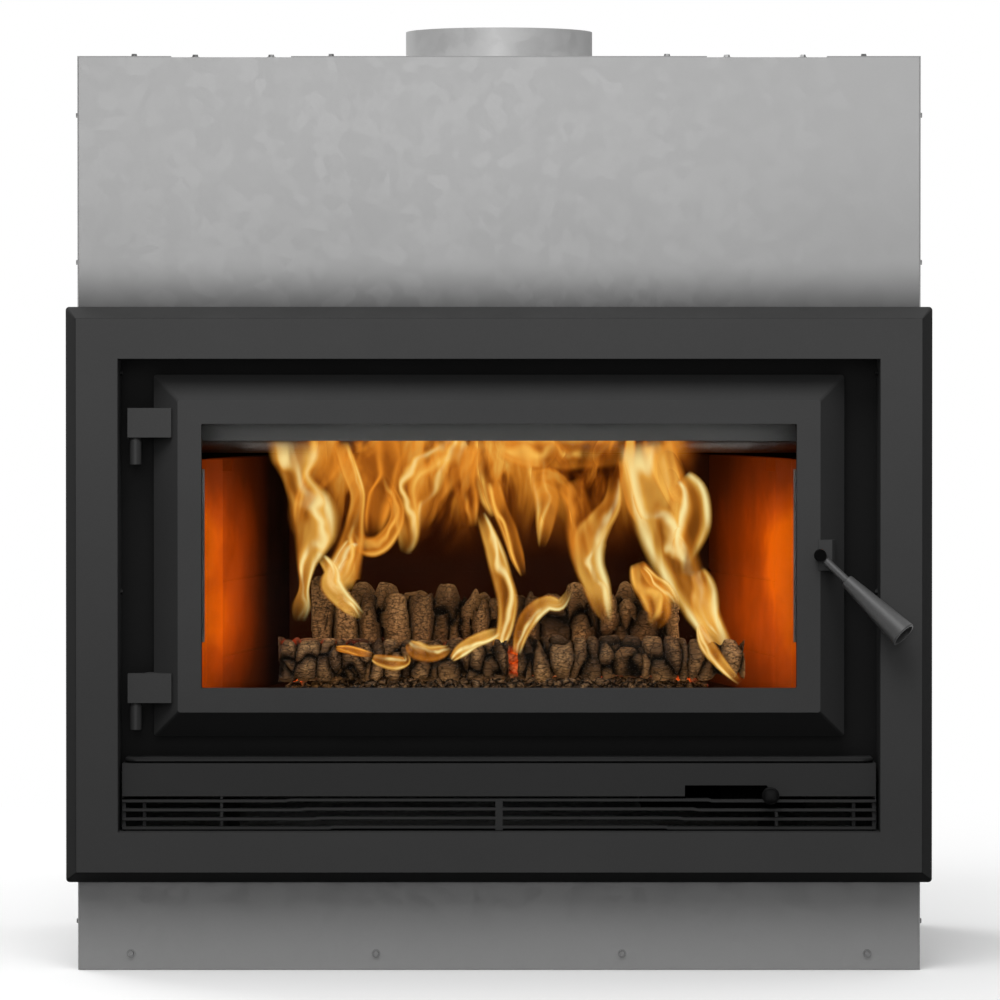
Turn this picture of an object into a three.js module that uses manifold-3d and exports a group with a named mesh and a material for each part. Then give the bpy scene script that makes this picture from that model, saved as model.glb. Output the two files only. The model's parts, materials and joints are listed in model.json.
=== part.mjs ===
// A built-in wood fireplace insert: galvanised casing with a flue collar, dark surround frame, steel firebox
// with a bevelled glass door, air louvre, linings and logs. Millimetres, +Z up, +Y towards the chimney wall.
// The origin is the middle of the casing's underside. The front faces -Y.
import * as THREE from "three";
import { mergeVertices } from "three/addons/utils/BufferGeometryUtils.js";
import Module from "manifold-3d";

const wasm = await Module();
wasm.setup();

// ---------------------------------------------------------------- driving dimensions

const fitGap = 0.3; // between pieces that seat on each other without being welded

// Casing of folded galvanised sheet
const casingWidth = 876;
const casingHeight = 950;
const casingDepth = 540;
const sheet = 1.2;
const frontFlange = 40;
const rearFlange = 25;
const trayLip = 30;
const panelLapLow = 46.5; // how far the front panels run up and down behind the surround
const panelLapHigh = 37.5;
const topNotchWidth = 125;
const topNotchDepth = 24;
const topNotchMid = 278.5;
const ventCount = 12;
const ventWidth = 40;
const ventHeight = 8;
const ventInset = 70;

// Flue
const flueY = -50;
const collarRadius = 100;
const collarHeight = 36.5;
const collarFoot = 18;
const collarHem = 3.5;
const spigotRadius = 77;
const spigotWall = 3;
const spigotFoot = 8;
const spigotProud = 25;

// Surround frame
const surroundOverhang = 12;
const surroundHeight = 598;
const surroundLow = 91.5;
const surroundProud = 35;
const surroundSideBand = 56;
const surroundRailBand = 54.5;
const surroundBevel = 12;
const surroundBevelDepth = 30;
const surroundSheet = 2;
const surroundCorner = 3.5;
const bracketLength = 320;
const bracketWidth = 22;
const bracketInset = 8;

// Door
const doorSideGap = 35;
const doorTopGap = 16;
const doorRise = 97; // from the opening's lower edge, which leaves room for the shelf and the louvre
const doorSetback = 12;
const doorBevel = 26;
const doorBevelDepth = 25;
const doorRim = 16;
const doorStile = 50.5;
const doorRail = 51;
const windowLip = 14;
const glassLap = 5.5;
const glassThick = 4;
const gasketThick = 1.4;
const clipLength = 180;
const clipSheet = 1.5;
const clipRoom = 8;
const sealDiameter = 12;
const sealInset = 10;
const sealGap = 7;

// Hinges
const hingeOutset = 18;
const hingeSetback = 9;
const leafHeight = 30.5;
const leafDrop = 65;
const leafLift = 35.7;
const leafLeft = 8;
const leafReach = 37.4;
const leafHalfThick = 7;
const pinRadius = 4;
const pinHeight = 21;
const barrelRadius = 6;
const barrelHeight = 26;
const barrelShoulder = 2.3;
const armWidth = 8;

// Latch and handle
const latchInset = 26.3;
const latchRise = 1;
const spindleRadius = 6;
const fingerLength = 24;
const fingerWidth = 10;
const fingerThick = 6;
const fingerClear = 3;
const hubProud = 13;
const bossLeft = 2;
const bossRight = 15.5;
const bossHeight = 32;
const bossProud = 1;
const handleDrop = 44;
const handleTilt = 19;
const rodRadius = 4.1;
const rodSetback = 8.1;
const gripStart = 39;
const gripLength = 84;
const gripSmall = 7;
const gripLarge = 14.3;
const gripHollow = 20;
const gripSocket = 30;

// Firebox of welded plate
const plate = 5;
const faceOverlap = 6;
const faceDrop = 78;
const mouthSideLap = 47;
const mouthRailLap = 40;
const boxSideRoom = 33;
const boxLowRoom = 38;
const boxHighRoom = 66;
const boxRearRoom = 105;
const tubeRadius = 10;
const tubeWall = 2;
const tubeDrop = 100;
const tubeRears = [210, 90];
const baffleThick = 25;
const baffleDepth = 269.7;
const baffleSideGap = 6;
const airwashDrop = 29;
const airwashRise = 33;
const airwashLap = 13;
const airwashLip = 12;
const airwashWall = 3;

// Linings
const liningDrop = 115;
const liningThick = 28;
const cheekSetback = 12;
const cheekStep = 6;
const cheekSplay = 15.5;
const sideSplay = 58.5;
const floorThick = 30;
const grooveWidth = 2.4;
const jointRises = [43.4, 122.4];
const liningNotchLength = 46;
const liningNotchDepth = 13;
const brickCount = 5;
const retainerHeight = 8;
const retainerDepth = 13;
const retainerWall = 2;

// Fire: shares of the floor's half width, of its depth and of the linings' height
const bedHeight = 11;
const bed = { half: 0.764, mid: 0.407, deep: 0.362 };
const logs = {
  log_front_left: { from: -0.812, to: 0.041, y: 0.163, yaw: 0.024, r: 0.112, taper: 0.05, lobes: 3, turn: 0.4 },
  log_front_right: { from: 0.062, to: 0.902, y: 0.187, yaw: -0.03, r: 0.116, taper: 0.22, lobes: 4, turn: 2.1 },
  log_middle: { from: -0.516, to: 0.654, y: 0.392, yaw: 0.018, r: 0.088, taper: 0.12, lobes: 3, turn: 3.3 },
  log_rear: { from: -0.709, to: 0.68, y: 0.693, yaw: -0.018, r: 0.236, taper: 0.1, lobes: 3, turn: 1.2 },
};
const logSeat = 0.86; // height of a log's middle above what it lies on, as a share of its radius

// Hearth shelf, louvre and air control
const shelfSideGap = 5;
const shelfSetback = 20;
const shelfThick = 5;
const shelfCorner = 12;
const shelfSoft = 2;
const louvreSideGap = 3;
const louvreSetback = 15;
const bandRise = 35.7;
const bandHeight = 34.3;
const slatCount = 4;
const slatThick = 3.1;
const slatLowGap = 1.24;
const slatDrop = 4.8;
const slatDepth = 12;
const slatJog = 1;
const slatSlope = 3;
const slatBreak = 220.5;
const slatBreakStep = 15.1;
const centreBar = 8;
const sideBar = 4;
const innerBarInset = 23;
const airInset = 110;
const airTravel = 80;
const slotEnd = 8;
const slotHeight = 11.3;
const slotSlant = 12; // how far the right end leans back over the rod
const airRodRadius = 3.2;
const airRodDrop = 9.5;
const airKnobRadius = 9;
const airKnobLength = 15;
const airKnobProud = 6;
const slideWidth = 70;
const slideHeight = 28;
const slideThick = 3;
const guideWall = 1.5;
const guideLip = 3;
const guideHeight = 4;
const airBoxWall = 2;
const airBoxWidth = 136;
const airBoxDepth = 106;
const airBoxDrop = 4.5;
const airHoleInset = 20;

// Firebox rails and heat shields
const railInset = 55;
const railFlange = 40;
const railWall = 3;
const railEndRoom = 65;
const shieldSideRoom = 50;
const shieldEndRoom = 70;
const shieldTopRoom = 50;
const shieldRearRoom = 60;
const shieldRearInset = 25;
const shieldRoofRise = 55;
const shieldRoofInset = 45;
const shieldRoofSetback = 20;

// ---------------------------------------------------------------- places that follow from the sizes

const casingHalf = casingWidth / 2;
const casingFront = -casingDepth / 2;
const casingBack = casingDepth / 2;
const casingInner = casingHalf - sheet;
const panelHalf = casingInner - fitGap;
const panelBack = casingFront + sheet;
const underTop = casingHeight - sheet;

const surroundHalf = casingHalf + surroundOverhang;
const surroundHigh = surroundLow + surroundHeight;
const surroundFront = casingFront - surroundProud;
const surroundMidZ = surroundLow + surroundHeight / 2;
const openHalfWidth = surroundHalf - surroundSideBand;
const openHalfHeight = surroundHeight / 2 - surroundRailBand;
const openLow = surroundMidZ - openHalfHeight;
const openHigh = surroundMidZ + openHalfHeight;

const doorLow = openLow + doorRise;
const doorHigh = openHigh - doorTopGap;
const doorMidZ = (doorLow + doorHigh) / 2;
const doorHalfHeight = (doorHigh - doorLow) / 2;
const doorHalfWidth = openHalfWidth - doorSideGap;
const doorFront = surroundFront + doorSetback;
const doorShoulder = doorFront + doorBevelDepth;
const doorBack = doorShoulder + doorRim;
const windowHalfWidth = doorHalfWidth - doorStile;
const windowHalfHeight = doorHalfHeight - doorRail;
const glassHalfWidth = windowHalfWidth + glassLap;
const glassHalfHeight = windowHalfHeight + glassLap;
const hingeX = -doorHalfWidth - hingeOutset;
const hingeY = doorFront + hingeSetback;
const leafHigh = doorHigh - leafDrop;
const leafLow = doorLow + leafLift;
const latchX = doorHalfWidth - latchInset;
const latchZ = doorMidZ + latchRise;

const faceFront = doorBack + sealGap;
const faceBack = faceFront + plate;
const mouthHalfWidth = doorHalfWidth - mouthSideLap;
const mouthHalfHeight = doorHalfHeight - mouthRailLap;
const mouthLow = doorMidZ - mouthHalfHeight;
const mouthHigh = doorMidZ + mouthHalfHeight;
const faceLow = mouthLow - faceDrop;
const boxHalfWidth = mouthHalfWidth + boxSideRoom;
const boxInner = boxHalfWidth - plate;
const boxLow = mouthLow - boxLowRoom;
const boxFloor = boxLow + plate;
const boxHigh = mouthHigh + boxHighRoom;
const boxRoof = boxHigh - plate;
const boxBack = casingBack - boxRearRoom;
const boxBackInner = boxBack - plate;

const liningTop = boxHigh - liningDrop;
const floorTop = boxFloor + floorThick;
const cheekFront = faceBack + cheekSetback;
const cheekBack = cheekFront + liningThick;
const cheekInnerFront = mouthHalfWidth - cheekStep;
const cheekInnerBack = cheekInnerFront - cheekSplay;
const splayInnerBack = cheekInnerBack - sideSplay;
const backLiningFront = boxBackInner - fitGap - liningThick;
const sideJoints = jointRises.map((rise) => floorTop + rise);
const bedLow = floorTop + fitGap;
const bedTop = bedLow + bedHeight;

const louvreFront = surroundFront + louvreSetback;
const louvreHalfWidth = openHalfWidth - louvreSideGap;
const bandLow = openLow + bandRise;
const bandHigh = bandLow + bandHeight;
const slatTop = bandLow - slatDrop;
const slatPitch = (slatTop - slatThick / 2 - slatLowGap - openLow) / (slatCount - 1);
const airX = louvreHalfWidth - airInset;
const slotRight = airX + slotEnd;
const slotLeft = airX - airTravel - slotEnd;
const slotHigh = bandLow + slotHeight;
const airZ = slotHigh - airRodDrop;
const slideLow = airZ - slideHeight / 2;
const slideHigh = airZ + slideHeight / 2;
const airBoxRight = airX + airRodRadius + 1;
const airBoxLeft = airBoxRight - airBoxWidth;
const airBoxLow = slideLow - airBoxDrop;
const airBoxFront = faceBack + guideHeight;
const airBoxBack = airBoxFront + airBoxDepth;

// ---------------------------------------------------------------- shape helpers

/** A closed outline from [u, v] points. */
function outline(points) {
  return new THREE.Shape(points.map(([u, v]) => new THREE.Vector2(u, v)));
}

/** A rectangle between two corners, with rounded corners where a radius is given. */
function rectangle(u0, u1, v0, v1, radius = 0) {
  if (radius === 0) {
    return outline([[u0, v0], [u1, v0], [u1, v1], [u0, v1]]);
  }
  const shape = new THREE.Shape();
  shape.moveTo(u0 + radius, v0);
  shape.lineTo(u1 - radius, v0);
  shape.absarc(u1 - radius, v0 + radius, radius, -Math.PI / 2, 0, false);
  shape.lineTo(u1, v1 - radius);
  shape.absarc(u1 - radius, v1 - radius, radius, 0, Math.PI / 2, false);
  shape.lineTo(u0 + radius, v1);
  shape.absarc(u0 + radius, v1 - radius, radius, Math.PI / 2, Math.PI, false);
  shape.lineTo(u0, v0 + radius);
  shape.absarc(u0 + radius, v0 + radius, radius, Math.PI, 1.5 * Math.PI, false);
  return shape;
}

/** A circle about (u, v). */
function circle(u, v, radius) {
  return new THREE.Shape().absarc(u, v, radius, 0, 2 * Math.PI, false);
}

/** The same shape with more outlines taken out of it. */
function pierced(shape, holes) {
  shape.holes.push(...holes);
  return shape;
}

/** Extrudes a plan outline (x, y) upwards from z0 to z1. */
function riseZ(shape, z0, z1, options = {}) {
  const settings = { depth: z1 - z0, bevelEnabled: false, curveSegments: 6, ...options };
  return new THREE.ExtrudeGeometry(shape, settings).translate(0, 0, z0);
}

/** Extrudes a front-view outline (x, z) backwards from y0 to y1. */
function runY(shape, y0, y1, options = {}) {
  const settings = { depth: y1 - y0, bevelEnabled: false, curveSegments: 6, ...options };
  return new THREE.ExtrudeGeometry(shape, settings).rotateX(Math.PI / 2).translate(0, y1, 0);
}

/** Extrudes a side-view outline (y, z) sideways from x0 to x1. */
function runX(shape, x0, x1) {
  const settings = { depth: x1 - x0, bevelEnabled: false, curveSegments: 16 };
  const turn = new THREE.Matrix4().makeBasis(
    new THREE.Vector3(0, 1, 0),
    new THREE.Vector3(0, 0, 1),
    new THREE.Vector3(1, 0, 0),
  );
  return new THREE.ExtrudeGeometry(shape, settings).applyMatrix4(turn).translate(x0, 0, 0);
}

/** Turns a closed [radius, height] profile round the vertical axis. */
function revolve(profile, segments = 32) {
  const points = profile.map(([radius, height]) => new THREE.Vector2(radius, height));
  return new THREE.LatheGeometry(points, segments).rotateX(Math.PI / 2);
}

/** Skins closed rings of equal count one after another and closes both ends. */
function loft(rings) {
  const count = rings[0].length;
  const positions = [];
  const triangle = (a, b, c) => positions.push(...a.toArray(), ...b.toArray(), ...c.toArray());
  const middle = (ring) => ring.reduce((sum, p) => sum.add(p), new THREE.Vector3()).divideScalar(count);
  const firstMiddle = middle(rings[0]);
  const lastMiddle = middle(rings[rings.length - 1]);
  for (let j = 0; j < count; j += 1) {
    const k = (j + 1) % count;
    for (let i = 0; i + 1 < rings.length; i += 1) {
      triangle(rings[i][j], rings[i][k], rings[i + 1][k]);
      triangle(rings[i][j], rings[i + 1][k], rings[i + 1][j]);
    }
    triangle(firstMiddle, rings[0][k], rings[0][j]);
    triangle(lastMiddle, rings[rings.length - 1][j], rings[rings.length - 1][k]);
  }
  const geometry = new THREE.BufferGeometry();
  geometry.setAttribute("position", new THREE.Float32BufferAttribute(positions, 3));
  geometry.computeVertexNormals();
  return geometry;
}

/** A rounded rectangle's ring in the plane at depth y, centred on x = 0. */
function frontRing(halfWidth, midZ, halfHeight, radius, y) {
  const shape = rectangle(-halfWidth, halfWidth, midZ - halfHeight, midZ + halfHeight, radius);
  const points = shape.getPoints(3);
  if (points[0].distanceTo(points[points.length - 1]) < 1e-6) {
    points.pop();
  }
  return points.map((p) => new THREE.Vector3(p.x, y, p.y));
}

/** A closed mesh as a solid for joins and cuts. */
function toSolid(geometry) {
  const bare = geometry.clone();
  bare.deleteAttribute("normal");
  bare.deleteAttribute("uv");
  const merged = mergeVertices(bare, 1e-4);
  const mesh = new wasm.Mesh({
    numProp: 3,
    vertProperties: merged.attributes.position.array,
    triVerts: Uint32Array.from(merged.index.array),
  });
  return new wasm.Manifold(mesh);
}

/** A solid back as flat-shaded geometry. */
function toGeometry(solid) {
  const { vertProperties, triVerts } = solid.getMesh();
  const indexed = new THREE.BufferGeometry();
  indexed.setAttribute("position", new THREE.BufferAttribute(vertProperties, 3));
  indexed.setIndex(new THREE.BufferAttribute(triVerts, 1));
  const flat = indexed.toNonIndexed();
  flat.computeVertexNormals();
  return flat;
}

/** Several overlapping or touching pieces made one. */
function join(first, ...others) {
  return toGeometry(others.reduce((whole, piece) => whole.add(toSolid(piece)), toSolid(first)));
}

/** A piece with the tools taken out of it. */
function cut(first, ...tools) {
  return toGeometry(tools.reduce((rest, tool) => rest.subtract(toSolid(tool)), toSolid(first)));
}

// ---------------------------------------------------------------- materials

/** A material for one piece. */
function finish(color, roughness, metalness) {
  return new THREE.MeshStandardMaterial({ color, roughness, metalness });
}

const galvanised = () => finish(0xb0b0ae, 0.45, 0.8);
const satinPaint = () => finish(0x3a3a3a, 0.5, 0.3);
const castPaint = () => finish(0x424242, 0.55, 0.3);
const mattPlate = () => finish(0x1b1b1b, 0.8, 0.3);
const bareSteel = () => finish(0x5a5a58, 0.5, 0.8);
const refractory = () => finish(0xb98a5e, 0.95, 0);
const ropeWhite = () => finish(0x2c2c2b, 1, 0);
const charredWood = () => finish(0x2a201a, 0.95, 0);
const emberGlow = () => finish(0x8a2c08, 0.95, 0);

function ceramicGlass() {
  const glass = finish(0x2a2a28, 0.05, 0);
  glass.transparent = true;
  glass.opacity = 0.3;
  return glass;
}

// ---------------------------------------------------------------- assembly

const insert = new THREE.Group();

/** Puts a named piece in the model. */
function add(name, geometry, material, parent = insert) {
  const mesh = new THREE.Mesh(geometry, material);
  mesh.name = name;
  parent.add(mesh);
  return mesh;
}

/** Calls make(side, sign) for the left and the right of a handed pair. */
function bothSides(make) {
  make("left", -1);
  make("right", 1);
}

/** An outline's points mirrored to the given side, still running the same way round. */
function handed(points, sign) {
  const placed = points.map(([u, v]) => [u * sign, v]);
  return outline(sign < 0 ? placed.reverse() : placed);
}

/** The casing's panels: each one folded sheet. */
function addCasing() {
  const flangeEnd = casingInner - frontFlange;
  const rearEnd = casingInner - rearFlange;
  const flangeBack = panelBack + sheet;
  const rearFace = casingBack - sheet;
  const rearFlangeFace = rearFace - sheet;
  const section = [
    [casingInner, casingFront],
    [casingHalf, casingFront],
    [casingHalf, casingBack],
    [casingInner, casingBack],
    [casingInner, rearFace],
    [rearEnd, rearFace],
    [rearEnd, rearFlangeFace],
    [casingInner, rearFlangeFace],
    [casingInner, flangeBack],
    [flangeEnd, flangeBack],
    [flangeEnd, panelBack],
    [casingInner, panelBack],
  ];
  bothSides((side, sign) => {
    add(`casing_${side}`, riseZ(handed(section, sign), 0, underTop), galvanised());
  });

  const lipHalf = flangeEnd - fitGap;
  const upperLow = surroundHigh - panelLapHigh;
  const upperFace = runY(rectangle(-panelHalf, panelHalf, upperLow, underTop), casingFront, panelBack);
  const upperLip = riseZ(
    rectangle(-lipHalf, lipHalf, casingFront, panelBack + rearFlange),
    underTop - sheet,
    underTop,
  );
  add("casing_front_upper", join(upperFace, upperLip), galvanised());
  const lowerFace = rectangle(-panelHalf, panelHalf, 0, surroundLow + panelLapLow);
  add("casing_front_lower", runY(lowerFace, casingFront, panelBack), galvanised());

  const tray = outline([
    [panelBack, 0],
    [rearFace, 0],
    [rearFace, trayLip],
    [rearFlangeFace, trayLip],
    [rearFlangeFace, sheet],
    [flangeBack, sheet],
    [flangeBack, trayLip],
    [panelBack, trayLip],
  ]);
  const floor = rectangle(-panelHalf, panelHalf, flangeBack + fitGap, rearFlangeFace - fitGap);
  add("casing_base", join(runX(tray, -lipHalf, lipHalf), riseZ(floor, 0, sheet)), galvanised());

  const vents = [];
  const ventPitch = (2 * (panelHalf - ventWidth)) / ventCount;
  for (let i = 0; i < ventCount; i += 1) {
    const u = (i - (ventCount - 1) / 2) * ventPitch;
    for (const mid of [ventInset, casingHeight - ventInset]) {
      const low = mid - ventHeight / 2;
      const round = ventHeight / 2 - 0.1;
      vents.push(rectangle(u - ventWidth / 2, u + ventWidth / 2, low, low + ventHeight, round));
    }
  }
  const back = pierced(rectangle(-panelHalf, panelHalf, 0, underTop), vents);
  add("casing_back", runY(back, rearFace, casingBack, { curveSegments: 1 }), galvanised());

  const inner = topNotchMid - topNotchWidth / 2;
  const outer = topNotchMid + topNotchWidth / 2;
  const notchBack = casingFront + topNotchDepth;
  const top = outline([
    [-casingHalf, casingFront],
    [-outer, casingFront],
    [-outer, notchBack],
    [-inner, notchBack],
    [-inner, casingFront],
    [inner, casingFront],
    [inner, notchBack],
    [outer, notchBack],
    [outer, casingFront],
    [casingHalf, casingFront],
    [casingHalf, casingBack],
    [-casingHalf, casingBack],
  ]);
  const flueHole = circle(0, flueY, collarRadius - sheet);
  const roof = riseZ(pierced(top, [flueHole]), underTop, casingHeight, { curveSegments: 24 });
  add("casing_top", roof, galvanised());
}

/** The round collar on the casing and the flue spigot inside it. */
function addFlue() {
  const wall = collarRadius - sheet;
  const rim = casingHeight + collarHeight;
  const collar = revolve([
    [wall, casingHeight],
    [collarRadius + collarFoot, casingHeight],
    [collarRadius + collarFoot, casingHeight + sheet],
    [collarRadius, casingHeight + sheet],
    [collarRadius, rim],
    [collarRadius - collarHem, rim],
    [collarRadius - collarHem, rim - sheet],
    [wall, rim - sheet],
    [wall, casingHeight],
  ], 64);
  add("flue_collar", collar.translate(0, flueY, 0), galvanised());

  const bore = spigotRadius - spigotWall;
  const top = casingHeight + spigotProud;
  const spigot = revolve([
    [bore, boxHigh],
    [spigotRadius + spigotFoot, boxHigh],
    [spigotRadius + spigotFoot, boxHigh + spigotWall],
    [spigotRadius, boxHigh + spigotWall],
    [spigotRadius, top],
    [bore, top],
    [bore, boxHigh],
  ], 40);
  add("flue_spigot", spigot.translate(0, flueY, 0), bareSteel());
}

/** The bevelled surround: a folded channel, open behind, with a return that lines the opening. */
function addSurround() {
  const halfHeight = surroundHeight / 2;
  const rimBack = casingFront - fitGap;
  const rimFront = surroundFront + surroundBevelDepth;
  const ring = (inset, depth) => {
    const radius = Math.max(surroundCorner - inset / 2, 1);
    return frontRing(surroundHalf - inset, surroundMidZ, halfHeight - inset, radius, depth);
  };
  const shell = loft([ring(0, rimBack), ring(0, rimFront), ring(surroundBevel, surroundFront)]);
  const hollow = loft([
    ring(surroundSheet, rimBack + 1),
    ring(surroundSheet, rimFront),
    ring(surroundBevel + surroundSheet, surroundFront + surroundSheet),
  ]);
  const returnBack = faceFront - fitGap;
  const rectAt = (grow) => rectangle(
    -openHalfWidth - grow,
    openHalfWidth + grow,
    surroundMidZ - openHalfHeight - grow,
    surroundMidZ + openHalfHeight + grow,
  );
  const liner = runY(rectAt(surroundSheet), surroundFront, returnBack);
  const mouth = runY(rectAt(0), surroundFront - 1, returnBack + 1);
  add("surround_frame", cut(join(cut(shell, hollow), liner), mouth), satinPaint());

  const bracketIn = openHalfWidth + surroundSheet + bracketInset;
  const front = surroundFront + surroundSheet + fitGap;
  const rear = panelBack - fitGap;
  const zee = [
    [bracketIn, front],
    [bracketIn + bracketWidth, front],
    [bracketIn + bracketWidth, front + surroundSheet],
    [bracketIn + surroundSheet, front + surroundSheet],
    [bracketIn + surroundSheet, rear],
    [bracketIn, rear],
  ];
  const low = surroundMidZ - bracketLength / 2;
  bothSides((side, sign) => {
    add(`surround_bracket_${side}`, riseZ(handed(zee, sign), low, low + bracketLength), bareSteel());
  });
}

/** The firebox: a face plate with the door mouth and the latch keyhole, and four plates welded behind it. */
function addFirebox() {
  const slotHalf = fingerWidth / 2 + fingerClear;
  const keyhole = rectangle(
    latchX - slotHalf,
    latchX + slotHalf,
    latchZ - fingerLength - fingerClear,
    latchZ + slotHalf,
    slotHalf - 0.1,
  );
  const mouth = rectangle(
    -mouthHalfWidth,
    mouthHalfWidth,
    mouthLow,
    mouthHigh,
    2 * plate,
  );
  const half = openHalfWidth + faceOverlap;
  const face = pierced(rectangle(-half, half, faceLow, boxHigh + plate, plate), [mouth, keyhole]);
  add("firebox_face", runY(face, faceFront, faceBack), mattPlate());

  const floor = rectangle(-boxHalfWidth, boxHalfWidth, faceBack, boxBack);
  const airHole = rectangle(
    airBoxLeft + airHoleInset,
    airBoxRight - airHoleInset,
    airBoxFront + airHoleInset,
    airBoxBack - airHoleInset,
  );
  add("firebox_base", riseZ(pierced(floor, [airHole]), boxLow, boxFloor), mattPlate());
  const roof = rectangle(-boxHalfWidth, boxHalfWidth, faceBack, boxBack);
  const flueHole = circle(0, flueY, spigotRadius - spigotWall);
  add("firebox_top", riseZ(pierced(roof, [flueHole]), boxRoof, boxHigh, { curveSegments: 20 }), mattPlate());
  bothSides((side, sign) => {
    const wall = handed([
      [boxInner, faceBack],
      [boxHalfWidth, faceBack],
      [boxHalfWidth, boxBackInner],
      [boxInner, boxBackInner],
    ], sign);
    add(`firebox_${side}`, riseZ(wall, boxFloor, boxRoof), mattPlate());
  });
  const back = rectangle(-boxHalfWidth, boxHalfWidth, boxFloor, boxRoof);
  add("firebox_back", runY(back, boxBackInner, boxBack), mattPlate());
}

/** What burns the smoke: the air tubes, the board that lies on them and the airwash bar behind the glass. */
function addBurnParts() {
  const half = boxInner - fitGap;
  const tubeZ = boxHigh - tubeDrop;
  tubeRears.forEach((rear, index) => {
    const y = boxBackInner - rear;
    const ring = pierced(circle(y, tubeZ, tubeRadius), [circle(y, tubeZ, tubeRadius - tubeWall)]);
    add(`air_tube_${index + 1}`, runX(ring, -half, half), bareSteel());
  });
  const baffleLow = tubeZ + tubeRadius + fitGap;
  const baffleHalf = half - baffleSideGap;
  const baffleBack = boxBackInner - fitGap;
  const baffle = rectangle(-baffleHalf, baffleHalf, baffleBack - baffleDepth, baffleBack);
  add("baffle_board", riseZ(baffle, baffleLow, baffleLow + baffleThick), refractory());

  const front = faceBack + fitGap;
  const low = mouthHigh - airwashDrop;
  const high = mouthHigh + airwashRise;
  const wash = outline([
    [front, low],
    [front + airwashLip, low],
    [front + airwashLip, low + airwashWall],
    [front + airwashWall, low + airwashWall],
    [front + airwashWall, high],
    [front, high],
  ]);
  const reach = mouthHalfWidth + airwashLap;
  add("airwash_bar", runX(wash, -reach, reach), mattPlate());
}

/** Refractory linings: front cheeks, splayed sides with grooved joints, back wall and floor. */
function addLinings() {
  const sideEnd = backLiningFront - fitGap;
  const start = new THREE.Vector2(cheekInnerBack, cheekBack + fitGap);
  const end = new THREE.Vector2(splayInnerBack, sideEnd);
  const along = end.clone().sub(start).normalize();
  const outward = new THREE.Vector2(along.y, -along.x);
  const corner = (point, distance) => {
    const placed = point.clone().addScaledVector(outward, distance);
    return [placed.x, placed.y];
  };
  const slab = (from, to, near, far) => {
    return [corner(from, near), corner(from, far), corner(to, far), corner(to, near)];
  };
  const notchEnd = start.clone().addScaledVector(along, liningNotchLength);
  const before = start.clone().addScaledVector(along, -30);
  const beyond = end.clone().addScaledVector(along, 10);
  const cheek = [
    [cheekInnerFront, cheekFront],
    [boxInner - fitGap, cheekFront],
    [boxInner - fitGap, cheekBack],
    [cheekInnerBack, cheekBack],
  ];
  bothSides((side, sign) => {
    add(`lining_cheek_${side}`, riseZ(handed(cheek, sign), boxFloor + fitGap, liningTop), refractory());
    const board = riseZ(handed(slab(start, end, 0, liningThick), sign), boxFloor + fitGap, liningTop);
    const notch = riseZ(
      handed(slab(before, notchEnd, -5, liningThick + 5), sign),
      liningTop - liningNotchDepth,
      liningTop + 1,
    );
    const grooves = sideJoints.map((z) => {
      const groove = handed(slab(before, beyond, -5, grooveWidth), sign);
      return riseZ(groove, z - grooveWidth / 2, z + grooveWidth / 2);
    });
    add(`lining_side_${side}`, cut(board, notch, ...grooves), refractory());
  });

  const backFace = rectangle(-splayInnerBack + fitGap, splayInnerBack - fitGap, boxFloor + fitGap, liningTop);
  const backBoard = runY(backFace, backLiningFront, boxBackInner - fitGap);
  const backGrooves = sideJoints.map((z) => {
    const groove = rectangle(-boxInner, boxInner, z - grooveWidth / 2, z + grooveWidth / 2);
    return runY(groove, backLiningFront - 5, backLiningFront + grooveWidth);
  });
  add("lining_back", cut(backBoard, ...backGrooves), refractory());

  const gap = 2 * fitGap;
  const floor = riseZ(outline([
    [-cheekInnerFront + gap, cheekFront],
    [cheekInnerFront - gap, cheekFront],
    [cheekInnerBack - gap, cheekBack],
    [splayInnerBack - gap, sideEnd],
    [-splayInnerBack + gap, sideEnd],
    [-cheekInnerBack + gap, cheekBack],
  ]), boxFloor + fitGap, floorTop);
  const brickWidth = (2 * cheekInnerBack) / brickCount;
  const joints = [...Array(brickCount - 1).keys()].map((index) => {
    const u = (index + 1) * brickWidth - cheekInnerBack;
    const joint = rectangle(u - grooveWidth / 2, u + grooveWidth / 2, cheekFront - 5, sideEnd + 5);
    return riseZ(joint, floorTop - grooveWidth, floorTop + 1);
  });
  add("floor_bricks", cut(floor, ...joints), refractory());

  const lip = cheekFront + 1;
  const retainer = outline([
    [lip, bedLow],
    [lip + retainerDepth, bedLow],
    [lip + retainerDepth, bedLow + retainerWall],
    [lip + retainerWall, bedLow + retainerWall],
    [lip + retainerWall, bedLow + retainerHeight],
    [lip, bedLow + retainerHeight],
  ]);
  const reach = cheekInnerBack - 2;
  add("log_retainer", runX(retainer, -reach, reach), mattPlate());
}

/** One split log: rings round a level line, with a wandering bark and a tapering end. */
function logSolid({ x0, x1, y, yaw, z, radius, taper, lobes, turn: phase }) {
  const rings = [];
  const steps = 14;
  const sides = 16;
  for (let i = 0; i <= steps; i += 1) {
    const share = i / steps;
    const x = x0 + (x1 - x0) * share;
    const size = radius * (1 - taper * share) * (1 + 0.04 * Math.sin(9 * share + phase));
    const ring = [];
    for (let j = 0; j < sides; j += 1) {
      const angle = (2 * Math.PI * j) / sides;
      const bark = 1 + 0.07 * Math.sin(lobes * angle + phase) + 0.04 * Math.sin(5 * angle + 14 * share);
      const reach = size * bark;
      ring.push(new THREE.Vector3(
        x,
        y + yaw * (share - 0.5) + reach * Math.cos(angle),
        z + Math.max(reach * Math.sin(angle), -radius * logSeat),
      ));
    }
    rings.push(ring);
  }
  return loft(rings);
}

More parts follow.
